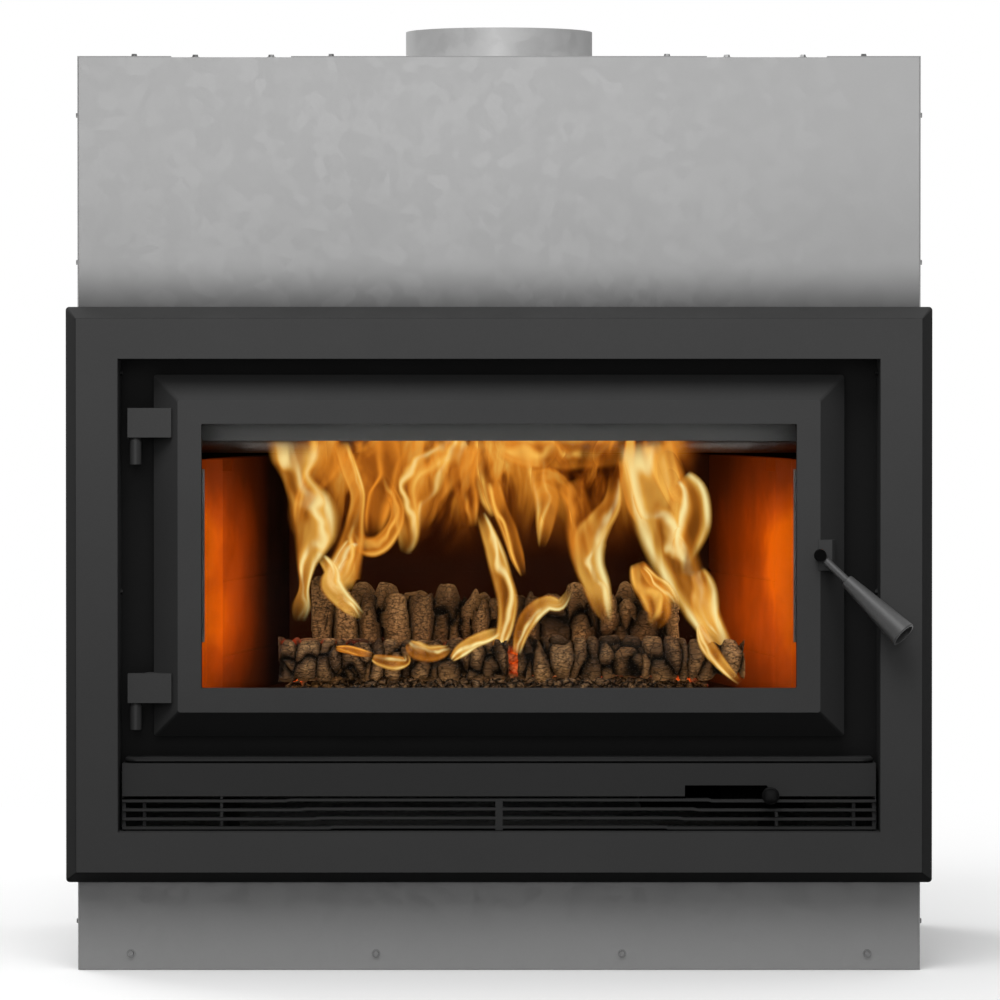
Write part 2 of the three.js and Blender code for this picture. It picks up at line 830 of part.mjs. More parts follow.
/** The bed of embers and the logs that lie on it. */
function addFire() {
  const floorDepth = backLiningFront - cheekBack;
  const rings = [];
  const steps = 16;
  const sides = 12;
  const halfLength = bed.half * cheekInnerBack;
  const mid = cheekBack + bed.mid * floorDepth;
  const deep = bed.deep * floorDepth;
  for (let i = 0; i <= steps; i += 1) {
    const share = i / steps;
    const x = -halfLength + 2 * halfLength * share;
    const swell = Math.sqrt(Math.max(1 - (2 * share - 1) ** 4, 0.05));
    const ring = [];
    for (let j = 0; j <= sides; j += 1) {
      const turn = (Math.PI * j) / sides;
      const height = bedHeight * swell * Math.min(1, 1.6 * Math.sin(turn));
      ring.push(new THREE.Vector3(x, mid + deep * swell * Math.cos(turn), bedLow + height));
    }
    rings.push(ring);
  }
  add("ember_bed", loft(rings), emberGlow());

  for (const [name, log] of Object.entries(logs)) {
    const radius = log.r * (liningTop - floorTop);
    const placed = {
      x0: log.from * cheekInnerBack,
      x1: log.to * cheekInnerBack,
      y: cheekBack + log.y * floorDepth,
      yaw: log.yaw * floorDepth,
      z: bedTop + fitGap + radius * logSeat,
    };
    add(name, logSolid({ ...log, ...placed, radius }), charredWood());
  }
}

/** The hearth shelf under the door, with rounded front corners and a softened edge. */
function addShelf() {
  const soft = shelfSoft;
  const back = faceFront - fitGap;
  const low = bandHigh + fitGap;
  const edge = openHalfWidth - shelfSideGap - soft;
  const front = surroundFront + shelfSetback + soft;
  const tail = back + 20;
  const plan = new THREE.Shape();
  plan.moveTo(-edge, tail);
  plan.lineTo(-edge, front + shelfCorner);
  plan.absarc(-edge + shelfCorner, front + shelfCorner, shelfCorner, Math.PI, 1.5 * Math.PI, false);
  plan.lineTo(edge - shelfCorner, front);
  plan.absarc(edge - shelfCorner, front + shelfCorner, shelfCorner, 1.5 * Math.PI, 2 * Math.PI, false);
  plan.lineTo(edge, tail);
  const rounding = { bevelEnabled: true, bevelSize: soft, bevelThickness: soft, bevelSegments: 3 };
  const slab = riseZ(plan, low + soft, low + shelfThick - soft, rounding);
  const behind = riseZ(rectangle(-casingHalf, casingHalf, back, tail + 5), low - 5, low + shelfThick + 5);
  add("hearth_shelf", cut(slab, behind), satinPaint());
}

/** The louvre: a fascia band with the air-control slot, and the slatted grille under it. */
function addLouvre() {
  const faceY = louvreFront + surroundSheet;
  const band = outline([
    [-louvreHalfWidth, bandLow],
    [slotLeft, bandLow],
    [slotLeft, slotHigh],
    [slotRight - slotSlant, slotHigh],
    [slotRight, bandLow],
    [louvreHalfWidth, bandLow],
    [louvreHalfWidth, bandHigh],
    [-louvreHalfWidth, bandHigh],
  ]);
  const flange = rectangle(-louvreHalfWidth, louvreHalfWidth, louvreFront, faceFront - fitGap);
  const fascia = join(runY(band, louvreFront, faceY), riseZ(flange, bandHigh - surroundSheet, bandHigh));
  add("louvre_fascia", fascia, satinPaint());

  const slats = [];
  for (let i = 0; i < slatCount; i += 1) {
    const mid = slatTop - i * slatPitch;
    const low = mid - slatThick / 2;
    const high = mid + slatThick / 2;
    const knee = slatBreak - i * slatBreakStep;
    slats.push(runY(outline([
      [-louvreHalfWidth, low],
      [-knee, low],
      [-knee + slatSlope, low + slatJog],
      [knee - slatSlope, low + slatJog],
      [knee, low],
      [louvreHalfWidth, low],
      [louvreHalfWidth, high],
      [knee, high],
      [knee - slatSlope, high + slatJog],
      [-knee + slatSlope, high + slatJog],
      [-knee, high],
      [-louvreHalfWidth, high],
    ]), louvreFront, louvreFront + slatDepth));
  }
  const barLow = openLow + fitGap;
  const barHigh = slatTop + slatThick / 2;
  const bar = (mid, width, front) => {
    const shape = rectangle(mid - width / 2, mid + width / 2, barLow, barHigh);
    return runY(shape, front, louvreFront + slatDepth + 2);
  };
  const barFront = faceY + fitGap;
  const endX = louvreHalfWidth - sideBar / 2;
  const innerX = louvreHalfWidth - innerBarInset;
  const bars = [
    bar(0, centreBar, barFront),
    bar(-innerX, sideBar, barFront + 3),
    bar(innerX, sideBar, barFront + 3),
    bar(-endX, sideBar, barFront),
    bar(endX, sideBar, barFront),
  ];
  const centreFace = rectangle(-centreBar / 2, centreBar / 2, barLow, barHigh + slatJog);
  bars.push(runY(centreFace, louvreFront, barFront + 1));
  add("louvre_grille", join(...slats.concat(bars)), satinPaint());
}

/** The primary air box under the firebox, and the slide, rod and knob that throttle it. */
function addAirControl() {
  const wall = airBoxWall;
  const high = boxLow - fitGap;
  const box = riseZ(rectangle(airBoxLeft, airBoxRight, airBoxFront, airBoxBack), airBoxLow, high);
  const inside = riseZ(
    rectangle(airBoxLeft + wall, airBoxRight - wall, airBoxFront + wall, airBoxBack - wall),
    airBoxLow + wall,
    high + 1,
  );
  const guideRight = airX + slideWidth / 2 + guideHeight;
  const frontPlate = rectangle(airBoxLeft, guideRight, airBoxLow, slideHigh + guideHeight);
  const front = runY(frontPlate, airBoxFront, airBoxFront + wall);
  const slideBack = airBoxFront - fitGap;
  const slideFront = slideBack - slideThick;
  const lipFront = slideFront - fitGap - guideWall;
  const guide = (edge, away) => outline([
    [airBoxFront, edge + away * fitGap],
    [airBoxFront, edge + away * guideHeight],
    [lipFront, edge + away * guideHeight],
    [lipFront, edge - away * guideLip],
    [slideFront - fitGap, edge - away * guideLip],
    [slideFront - fitGap, edge + away * fitGap],
  ]);
  const guideLines = [guide(slideHigh, 1), guide(slideLow, -1)];
  const guides = guideLines.map((shape) => runX(shape, airBoxLeft, guideRight));
  const portHalf = slideWidth / 2 - guideHeight;
  const portMid = airX - airTravel;
  const port = rectangle(
    portMid - portHalf,
    portMid + portHalf,
    slideLow + guideHeight,
    slideHigh - guideHeight,
  );
  const hollowed = cut(box, inside);
  const carcass = cut(join(hollowed, front, ...guides), runY(port, lipFront - 1, airBoxFront + wall + 1));
  add("primary_air_box", carcass, bareSteel());

  const slidePlate = rectangle(airX - slideWidth / 2, airX + slideWidth / 2, slideLow, slideHigh);
  add("air_slide", runY(slidePlate, slideFront, slideBack), bareSteel());
  const knobBack = louvreFront - airKnobProud;
  const rodBack = slideFront - fitGap;
  const rodLine = circle(airX, airZ, airRodRadius);
  add("air_rod", runY(rodLine, knobBack + fitGap, rodBack, { curveSegments: 20 }), bareSteel());
  const r = airKnobRadius;
  const knob = revolve([
    [0, 0],
    [r * 0.72, 0],
    [r * 0.84, 2],
    [r, 6],
    [r, airKnobLength - 4],
    [r * 0.86, airKnobLength - 1.2],
    [r * 0.6, airKnobLength],
    [0, airKnobLength],
  ], 28);
  knob.rotateX(Math.PI / 2).translate(airX, knobBack, airZ);
  add("air_knob", knob, satinPaint());
}

/** Rails that carry the firebox in the casing, and the heat shields in the air gap round it. */
function addRailsAndShields() {
  const stand = sheet + fitGap;
  const railTop = boxLow - fitGap;
  const railX = boxHalfWidth - railInset;
  const channel = [
    [railX, stand],
    [railX + railFlange, stand],
    [railX + railFlange, stand + railWall],
    [railX + railWall, stand + railWall],
    [railX + railWall, railTop - railWall],
    [railX + railFlange, railTop - railWall],
    [railX + railFlange, railTop],
    [railX, railTop],
  ];
  const shieldX = boxHalfWidth + shieldSideRoom;
  const end = casingBack - shieldEndRoom;
  const hat = [
    [shieldX, -end],
    [panelHalf, -end],
    [panelHalf, -end + sheet],
    [shieldX + sheet, -end + sheet],
    [shieldX + sheet, end - sheet],
    [panelHalf, end - sheet],
    [panelHalf, end],
    [shieldX, end],
  ];
  const railEnd = casingBack - railEndRoom;
  const shieldTop = casingHeight - shieldTopRoom;
  bothSides((side, sign) => {
    const rail = runY(handed(channel, sign), -railEnd, railEnd);
    add(`firebox_rail_${side}`, rail, bareSteel());
    add(`heat_shield_${side}`, riseZ(handed(hat, sign), stand, shieldTop), galvanised());
  });
  const wide = boxHalfWidth - shieldRearInset;
  const near = casingBack - shieldRearRoom;
  const rear = casingBack - 2 * sheet - fitGap;
  const backShield = outline([
    [-wide, near],
    [wide, near],
    [wide, rear],
    [wide - sheet, rear],
    [wide - sheet, near + sheet],
    [-wide + sheet, near + sheet],
    [-wide + sheet, rear],
    [-wide, rear],
  ]);
  add("heat_shield_back", riseZ(backShield, stand, shieldTop), galvanised());
  const roofHalf = boxHalfWidth - shieldRoofInset;
  const foot = boxHigh + fitGap;
  const roofZ = boxHigh + shieldRoofRise;
  const roof = runY(outline([
    [-roofHalf, foot],
    [-roofHalf + sheet, foot],
    [-roofHalf + sheet, roofZ],
    [roofHalf - sheet, roofZ],
    [roofHalf - sheet, foot],
    [roofHalf, foot],
    [roofHalf, roofZ + sheet],
    [-roofHalf, roofZ + sheet],
  ]), faceBack + shieldRoofSetback, boxBack);
  const flueLine = circle(0, flueY, spigotRadius + spigotWall);
  const flueWay = riseZ(flueLine, roofZ - 5, roofZ + 5, { curveSegments: 20 });
  add("heat_shield_top", cut(roof, flueWay), galvanised());
}

/** Hinge pins on the firebox face: a barrel on an arm, a shoulder and the pin that the door drops on to. */
function addHingePins() {
  const below = { upper: leafHigh, lower: leafLow };
  for (const [place, leafZ] of Object.entries(below)) {
    const barrelTop = leafZ - fitGap - barrelShoulder;
    const barrelLow = barrelTop - barrelHeight;
    const pin = revolve([
      [0, barrelLow],
      [barrelRadius - 0.8, barrelLow],
      [barrelRadius, barrelLow + 0.8],
      [barrelRadius, barrelTop - 0.8],
      [barrelRadius - 0.8, barrelTop],
      [barrelRadius - 1, barrelTop + barrelShoulder],
      [pinRadius, barrelTop + barrelShoulder],
      [pinRadius, leafZ + pinHeight - 1],
      [pinRadius - 1, leafZ + pinHeight],
      [0, leafZ + pinHeight],
    ], 24).translate(hingeX, hingeY, 0);
    const arm = runY(
      rectangle(hingeX - armWidth / 2, hingeX + armWidth / 2, barrelLow + 3, barrelTop - 3),
      hingeY,
      faceFront - fitGap,
    );
    add(`hinge_pin_${place}`, join(pin, arm), castPaint());
  }
}

/** The door: bevelled frame, glass with its gasket and clips, rope seal and hinge leaves. */
function addDoor() {
  const ring = (inset, y) => frontRing(doorHalfWidth - inset, doorMidZ, doorHalfHeight - inset, 3, y);
  const blank = loft([ring(0, doorBack), ring(0, doorShoulder), ring(doorBevel, doorFront)]);
  const rect = (halfWidth, halfHeight, radius = 0) => {
    return rectangle(-halfWidth, halfWidth, doorMidZ - halfHeight, doorMidZ + halfHeight, radius);
  };
  const pocketFront = doorFront + windowLip;
  const glassFront = pocketFront + gasketThick + 2 * fitGap;
  const glassBack = glassFront + glassThick;
  const ledge = glassBack + 2;
  const sight = runY(rect(windowHalfWidth, windowHalfHeight, 1.5), doorFront - 5, doorBack + 5);
  const pocket = runY(rect(glassHalfWidth + 1, glassHalfHeight + 1), pocketFront, doorBack + 5);
  const clipWay = runY(rect(glassHalfWidth + clipRoom, glassHalfHeight + clipRoom), ledge, doorBack + 5);
  const grooveDepth = sealDiameter - sealGap + 2 * fitGap;
  const sealOuter = doorHalfWidth - sealInset + sealDiameter / 2;
  const sealBand = (outer, y0, y1) => {
    const drop = doorHalfWidth - doorHalfHeight;
    const inner = outer - sealDiameter;
    return runY(pierced(rect(outer, outer - drop, 14), [rect(inner, inner - drop, 8)]), y0, y1);
  };
  const groove = sealBand(sealOuter - 3, doorBack - grooveDepth, doorBack + 5);
  const boreLine = circle(latchX, latchZ, spindleRadius + fitGap);
  const bore = runY(boreLine, doorFront - 5, doorBack + 5, { curveSegments: 24 });
  const bossStart = latchX - bossLeft;
  const bossEnd = latchX + bossRight;
  const boss = riseZ(outline([
    [bossStart, doorFront - bossProud],
    [bossEnd - 3, doorFront - bossProud],
    [bossEnd, doorFront + 3],
    [bossEnd, doorShoulder],
    [bossStart, doorShoulder],
  ]), latchZ - bossHeight / 2, latchZ + bossHeight / 2);
  const frame = cut(join(blank, boss), sight, pocket, clipWay, groove, bore);
  add("door_frame", frame, castPaint());

  const glass = rect(glassHalfWidth, glassHalfHeight, 3);
  add("door_glass", runY(glass, glassFront, glassBack), ceramicGlass());
  const tapeHole = rect(windowHalfWidth + 1, windowHalfHeight + 1);
  const tape = pierced(rect(glassHalfWidth, glassHalfHeight), [tapeHole]);
  add("glass_gasket", runY(tape, pocketFront + fitGap, glassFront - fitGap), ropeWhite());

  const clipIn = glassHalfWidth - clipRoom;
  const clipKnee = glassHalfWidth - clipSheet;
  const clipStep = glassHalfWidth + 0.5;
  const clipOut = glassHalfWidth + clipRoom - 0.5;
  const clipLow = glassBack + fitGap;
  const clipHigh = ledge + fitGap;
  const clip = [
    [clipIn, clipLow],
    [clipKnee, clipLow],
    [clipStep, clipHigh],
    [clipOut, clipHigh],
    [clipOut, clipHigh + clipSheet],
    [clipStep - 1, clipHigh + clipSheet],
    [clipKnee - 1, clipLow + clipSheet],
    [clipIn, clipLow + clipSheet],
  ];
  const clipLowEnd = doorMidZ - clipLength / 2;
  bothSides((side, sign) => {
    const strip = riseZ(handed(clip, sign), clipLowEnd, clipLowEnd + clipLength);
    add(`glass_clip_${side}`, strip, bareSteel());
  });

  const ropeOuter = sealOuter - 3 - fitGap;
  const ropeInner = ropeOuter - sealDiameter + 2 * fitGap;
  const drop = doorHalfWidth - doorHalfHeight;
  const rope = pierced(rect(ropeOuter, ropeOuter - drop, 13), [rect(ropeInner, ropeInner - drop, 8)]);
  add("door_seal", runY(rope, doorBack - grooveDepth + fitGap, faceFront - fitGap), ropeWhite());

  const leafFront = hingeY - leafHalfThick;
  const bevelAt = (x) => doorFront + ((-x - (doorHalfWidth - doorBevel)) / doorBevel) * doorBevelDepth;
  const leafRight = hingeX + leafReach;
  const side = -doorHalfWidth - fitGap;
  const leafPlan = outline([
    [hingeX - leafLeft, leafFront],
    [leafRight, leafFront],
    [leafRight, bevelAt(leafRight) - 2 * fitGap],
    [side, doorShoulder - fitGap],
    [side, doorShoulder + 10],
    [side - 6, doorShoulder + 10],
    [hingeX + leafLeft, hingeY + leafHalfThick],
    [hingeX - leafLeft, hingeY + leafHalfThick],
  ]);
  for (const [place, z] of [["upper", leafHigh], ["lower", leafLow]]) {
    const blankLeaf = riseZ(leafPlan, z, z + leafHeight);
    const socketLine = circle(hingeX, hingeY, pinRadius + fitGap);
    const socket = riseZ(socketLine, z - 1, z + pinHeight + 2, { curveSegments: 20 });
    add(`hinge_leaf_${place}`, cut(blankLeaf, socket), castPaint());
  }
}

/** The latch: a spindle with a finger that turns behind the firebox face, and the angled handle. */
function addHandle() {
  const fingerBack = faceBack + fingerClear + fingerThick;
  const hubFront = doorFront - hubProud;
  const spindleLine = circle(latchX, latchZ, spindleRadius);
  const spindle = runY(spindleLine, hubFront, fingerBack, { curveSegments: 24 });
  const tip = rectangle(
    latchX - fingerWidth / 2,
    latchX + fingerWidth / 2,
    latchZ - fingerLength,
    latchZ,
    fingerWidth / 2 - 0.1,
  );
  const finger = runY(tip, faceBack + fingerClear, fingerBack);
  add("latch_spindle", join(spindle, finger), bareSteel());

  const handle = new THREE.Group();
  handle.position.set(latchX, hubFront + rodSetback, latchZ);
  const tilt = THREE.MathUtils.degToRad(handleTilt);
  const dropAngle = THREE.MathUtils.degToRad(handleDrop);
  const direction = new THREE.Vector3(
    Math.cos(dropAngle) * Math.cos(tilt),
    -Math.sin(tilt),
    -Math.sin(dropAngle) * Math.cos(tilt),
  );
  handle.quaternion.setFromUnitVectors(new THREE.Vector3(0, 0, 1), direction);
  insert.add(handle);
  const rodTip = rodRadius - 0.6;
  const rodStart = (spindleRadius + fitGap + rodTip * Math.sin(tilt)) / Math.cos(tilt);
  const rod = revolve([
    [0, rodStart],
    [rodTip, rodStart],
    [rodRadius, rodStart + 0.6],
    [rodRadius, gripStart + gripSocket - 1],
    [rodRadius - 1, gripStart + gripSocket],
    [0, gripStart + gripSocket],
  ], 20);
  add("handle_rod", rod, castPaint(), handle);
  const end = gripStart + gripLength;
  const bore = rodRadius + fitGap;
  const grip = revolve([
    [bore, gripStart],
    [gripSmall - 0.8, gripStart],
    [gripSmall, gripStart + 0.8],
    [gripLarge, end - 1.2],
    [gripLarge - 0.7, end],
    [gripLarge - 2.4, end],
    [gripLarge - 3.4, end - gripHollow],
    [0, end - gripHollow],
    [0, gripStart + gripSocket + 1],
    [bore, gripStart + gripSocket + 1],
    [bore, gripStart],
  ], 32);
  add("handle_grip", grip, castPaint(), handle);
}

addCasing();
addFlue();
addSurround();
addFirebox();
addBurnParts();
addLinings();
addFire();
addShelf();
addLouvre();
addAirControl();
addRailsAndShields();
addHingePins();
addDoor();
addHandle();

export default insert;
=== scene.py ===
"""Looks for the built-in wood fireplace insert: casing, surround, glazed door, louvre, linings and the fire.

Metres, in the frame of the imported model: the origin is the middle of the casing's underside, +Z is up and
the door faces -Y.
"""

import json
import logging
import math
from dataclasses import dataclass
from enum import Enum
from typing import Any, Sequence

import bmesh
import bpy
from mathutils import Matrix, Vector, noise

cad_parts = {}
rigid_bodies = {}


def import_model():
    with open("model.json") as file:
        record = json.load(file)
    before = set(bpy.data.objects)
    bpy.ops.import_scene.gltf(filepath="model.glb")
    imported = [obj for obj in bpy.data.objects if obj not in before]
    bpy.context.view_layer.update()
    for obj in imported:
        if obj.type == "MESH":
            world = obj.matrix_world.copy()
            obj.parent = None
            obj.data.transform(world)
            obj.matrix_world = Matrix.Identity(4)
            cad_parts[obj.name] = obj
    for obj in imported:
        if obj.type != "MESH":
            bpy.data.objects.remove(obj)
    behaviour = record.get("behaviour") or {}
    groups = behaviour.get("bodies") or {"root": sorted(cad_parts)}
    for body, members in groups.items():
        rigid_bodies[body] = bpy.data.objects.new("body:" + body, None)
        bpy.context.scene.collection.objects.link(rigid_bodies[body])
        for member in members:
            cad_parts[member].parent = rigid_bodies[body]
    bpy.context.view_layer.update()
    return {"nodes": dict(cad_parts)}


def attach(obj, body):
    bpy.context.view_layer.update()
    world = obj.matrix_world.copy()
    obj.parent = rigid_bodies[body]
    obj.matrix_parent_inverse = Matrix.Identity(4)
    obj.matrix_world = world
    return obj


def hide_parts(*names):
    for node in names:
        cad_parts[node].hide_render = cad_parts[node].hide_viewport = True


LOG = logging.getLogger("fireplace_insert")
Point = tuple[float, float, float]
Colour = tuple[float, float, float]
Item = bpy.types.Object
Material = bpy.types.Material
Node = bpy.types.Node
Shape = bmesh.types.BMesh
Socket = bpy.types.NodeSocket
Tree = bpy.types.NodeTree
Nodes = dict[str, Item]
Places = list[tuple[Point, Point]]

# Heights, in metres, between which a shade comes in: the front panels' painted shadow over and under the
# surround, the paint's painted light that grows upwards, the firelight's on the linings and the wall of
# fire's;
# the height between the two front panels; the depths between which coals begin to glow; and how far from the
# middle the wall of fire ends.
SEAM_SHADE = (0.678, 0.742)
UPPER_SHADE = (0.68, 0.88)
FOOT_SHADE = (0.0, 0.1)
PANELS_PART = 0.3
PAINT_RISE = (0.12, 0.72)
GLOW_COMES = (0.27, 0.36)
GLOW_GOES = (0.44, 0.53)
COALS_GLOW = (-0.08, -0.06)
WALL_RISE = (0.415, 0.54)
WALL_ENDS = (0.17, 0.23)

# Seed of the noise that the logs' cracks follow.
CRACK_SEED = 1795565254

# Most that a piece laid at random is turned, the two sides, and the ways that a screw head can face.
TURN = 6.28
SIDES = (-1.0, 1.0)
UP = (0.0, 0.0, 1.0)
FORWARD = (0.0, -1.0, 0.0)
BACKWARD = (0.0, 1.0, 0.0)


class Body(Enum):
    """The bodies that pieces ride on."""

    ROOT = "root"
    DOOR = "door"
    HANDLE = "handle"
    AIR = "air_control"


class Slot(Enum):
    """The record's material slots, given for each new piece."""

    SHEET = "galvanised_sheet"
    SATIN = "satin_paint"
    CAST = "cast_paint"
    STEEL = "bare_steel"
    ROPE = "rope_seal"
    WOOD = "charred_wood"
    EMBERS = "embers"


def linear(red: int, green: int, blue: int) -> Colour:
    """Turns a colour written in 0 to 255 display values into linear light.

    Args:
        red: Red value.
        green: Green value.
        blue: Blue value.

    Returns:
        The three linear values.
    """
    def one(value: int) -> float:
        """Returns one channel in linear light."""
        share = value / 255
        return share / 12.92 if share <= 0.04045 else ((share + 0.055) / 1.055) ** 2.4

    return one(red), one(green), one(blue)


def grey(value: int) -> Colour:
    """Returns a neutral grey written as a display value."""
    return linear(value, value, value)


# ---------------------------------------------------------------- node trees


class Sheet:
    """Short hand for laying nodes into a tree."""

    def __init__(self, tree: Tree) -> None:
        """Keeps the tree that nodes are laid into."""
        self.tree = tree

    def add(self, kind: str, inputs: dict[Any, Any] | None = None, **settings: Any) -> Node:
        """Adds a node.

        Args:
            kind: The node's type name.
            inputs: Values or sockets for the node's inputs, by name or number.
            **settings: Properties to set on the node before its inputs.

        Returns:
            The new node.
        """
        node = self.tree.nodes.new(kind)
        for name, value in settings.items():
            setattr(node, name, value)
        for key, value in (inputs or {}).items():
            self.feed(node.inputs[key], value)
        return node

    def feed(self, socket: Socket, value: Any) -> None:
        """Links a socket into an input, or sets the input's own value.

        Args:
            socket: The input.
            value: An output socket, a number, a vector or a colour.
        """
        if isinstance(value, Socket):
            self.tree.links.new(value, socket)
        elif socket.type == "RGBA" and len(value) == 3:
            socket.default_value = (*value, 1.0)
        else:
            socket.default_value = value

    def fill(self, node: Node, **values: Any) -> None:
        """Links or sets several of a node's inputs.

        Args:
            node: The node.
            **values: What goes into each input, with _ for a space in a name.
        """
        for key, value in values.items():
            self.feed(node.inputs[key.replace("_", " ")], value)

    def math(self, operation: str, *values: Any) -> Socket:
        """Adds a Math node and returns its result."""
        return self.add("ShaderNodeMath", dict(enumerate(values)), operation=operation).outputs[0]

    def times(self, first: Any, second: Any) -> Socket:
        """Multiplies two values."""
        return self.math("MULTIPLY", first, second)

    def plus(self, first: Any, second: Any) -> Socket:
        """Adds two values."""
        return self.math("ADD", first, second)

    def swing(self, value: Any, reach: Any) -> Socket:
        """Turns a value between 0 and 1 into one that swings about 0, as wide as the reach."""
        return self.times(self.math("SUBTRACT", value, 0.5), reach)

    def parts(self, vector: Any) -> Sequence[Socket]:
        """Parts a vector into x, y and z."""
        return self.add("ShaderNodeSeparateXYZ", {0: vector}).outputs

    def upright(self, height: Any) -> Socket:
        """Makes a vector that points up."""
        return self.add("ShaderNodeCombineXYZ", {2: height}).outputs[0]

    def scaled(self, colour: Any, gain: Any) -> Socket:
        """Multiplies a colour by a number."""
        tint = self.add("ShaderNodeCombineColor", {0: gain, 1: gain, 2: gain}).outputs[0]
        return self.blend(1.0, colour, tint, "MULTIPLY")

    def blend(self, share: Any, first: Any, second: Any, mode: str = "MIX") -> Socket:
        """Mixes two colours.

        Args:
            share: How much of the second, 0 to 1.
            first: The first colour.
            second: The second colour.
            mode: The way of mixing.

        Returns:
            The mixed colour's socket.
        """
        node = self.add("ShaderNodeMix", data_type="RGBA", blend_type=mode)
        self.feed(node.inputs[0], share)
        self.feed(node.inputs[6], first)
        self.feed(node.inputs[7], second)
        return node.outputs[2]

    def ramp(self, value: Any, stops: Sequence[tuple[float, Any]]) -> Socket:
        """Adds a colour ramp.

        Args:
            value: What drives the ramp.
            stops: Places and colours, or places and grey levels.

        Returns:
            The ramp's colour socket.
        """
        node = self.add("ShaderNodeValToRGB", {0: value})
        marks = node.color_ramp.elements
        while len(marks) < len(stops):
            marks.new(0.5)
        for mark, (place, colour) in zip(marks, stops):
            mark.position = place
            solid = (colour, colour, colour) if isinstance(colour, (int, float)) else colour
            mark.color = (*solid, 1.0)
        return node.outputs[0]

    def span(self, value: Any, low: float, high: float, to: Sequence[float] = (0.0, 1.0)) -> Socket:
        """Maps a range smoothly on to another and holds it at the ends.

        Args:
            value: What is mapped.
            low: Start of the range.
            high: End of the range.
            to: What the ends become.

        Returns:
            The mapped value's socket.
        """
        node = self.add("ShaderNodeMapRange", interpolation_type="SMOOTHSTEP", clamp=True)
        for key, number in ((0, value), (1, low), (2, high), (3, to[0]), (4, to[1])):
            self.feed(node.inputs[key], number)
        return node.outputs[0]

    def noise(self, vector: Any, scale: Any, detail: float = 3.0, rough: float = 0.55) -> Socket:
        """Adds a Noise texture and returns its value."""
        inputs = {"Vector": vector, "Scale": scale, "Detail": detail, "Roughness": rough}
        return self.add("ShaderNodeTexNoise", inputs).outputs[0]

    def moved(self, shape: Node, shift: Socket) -> Socket:
        """Moves a shape in a Geometry Nodes tree."""
        inputs = {"Geometry": shape.outputs[0], "Translation": shift}
        return self.add("GeometryNodeTransform", inputs).outputs[0]

    def cracks(self, vector: Any, scale: float) -> Socket:
        """Returns the distance from the edges of cells."""
        inputs = {"Vector": vector, "Scale": scale}
        return self.add("ShaderNodeTexVoronoi", inputs, feature="DISTANCE_TO_EDGE").outputs["Distance"]

    def place(self) -> Socket:
        """Returns the piece's own Object coordinates."""
        return self.add("ShaderNodeTexCoord").outputs["Object"]


def new_group(name: str, inputs: Sequence[tuple[str, str, Any]], outputs: Sequence[tuple[str, str]]) -> tuple:
    """Starts a shader node group with named sockets.

    Args:
        name: The group's name.
        inputs: Name, socket type and value of each input.
        outputs: Name and socket type of each output.

    Returns:
        The group's tree, its sheet, what comes in and what goes out.
    """
    tree = bpy.data.node_groups.new(name, "ShaderNodeTree")
    for label, kind, value in inputs:
        socket = tree.interface.new_socket(label, in_out="INPUT", socket_type=kind)
        socket.default_value = (*value, 1.0) if kind == "NodeSocketColor" else value
    for label, kind in outputs:
        tree.interface.new_socket(label, in_out="OUTPUT", socket_type=kind)
    sheet = Sheet(tree)
    return tree, sheet, sheet.add("NodeGroupInput").outputs, sheet.add("NodeGroupOutput").inputs


FLOAT = "NodeSocketFloat"
COLOUR = "NodeSocketColor"


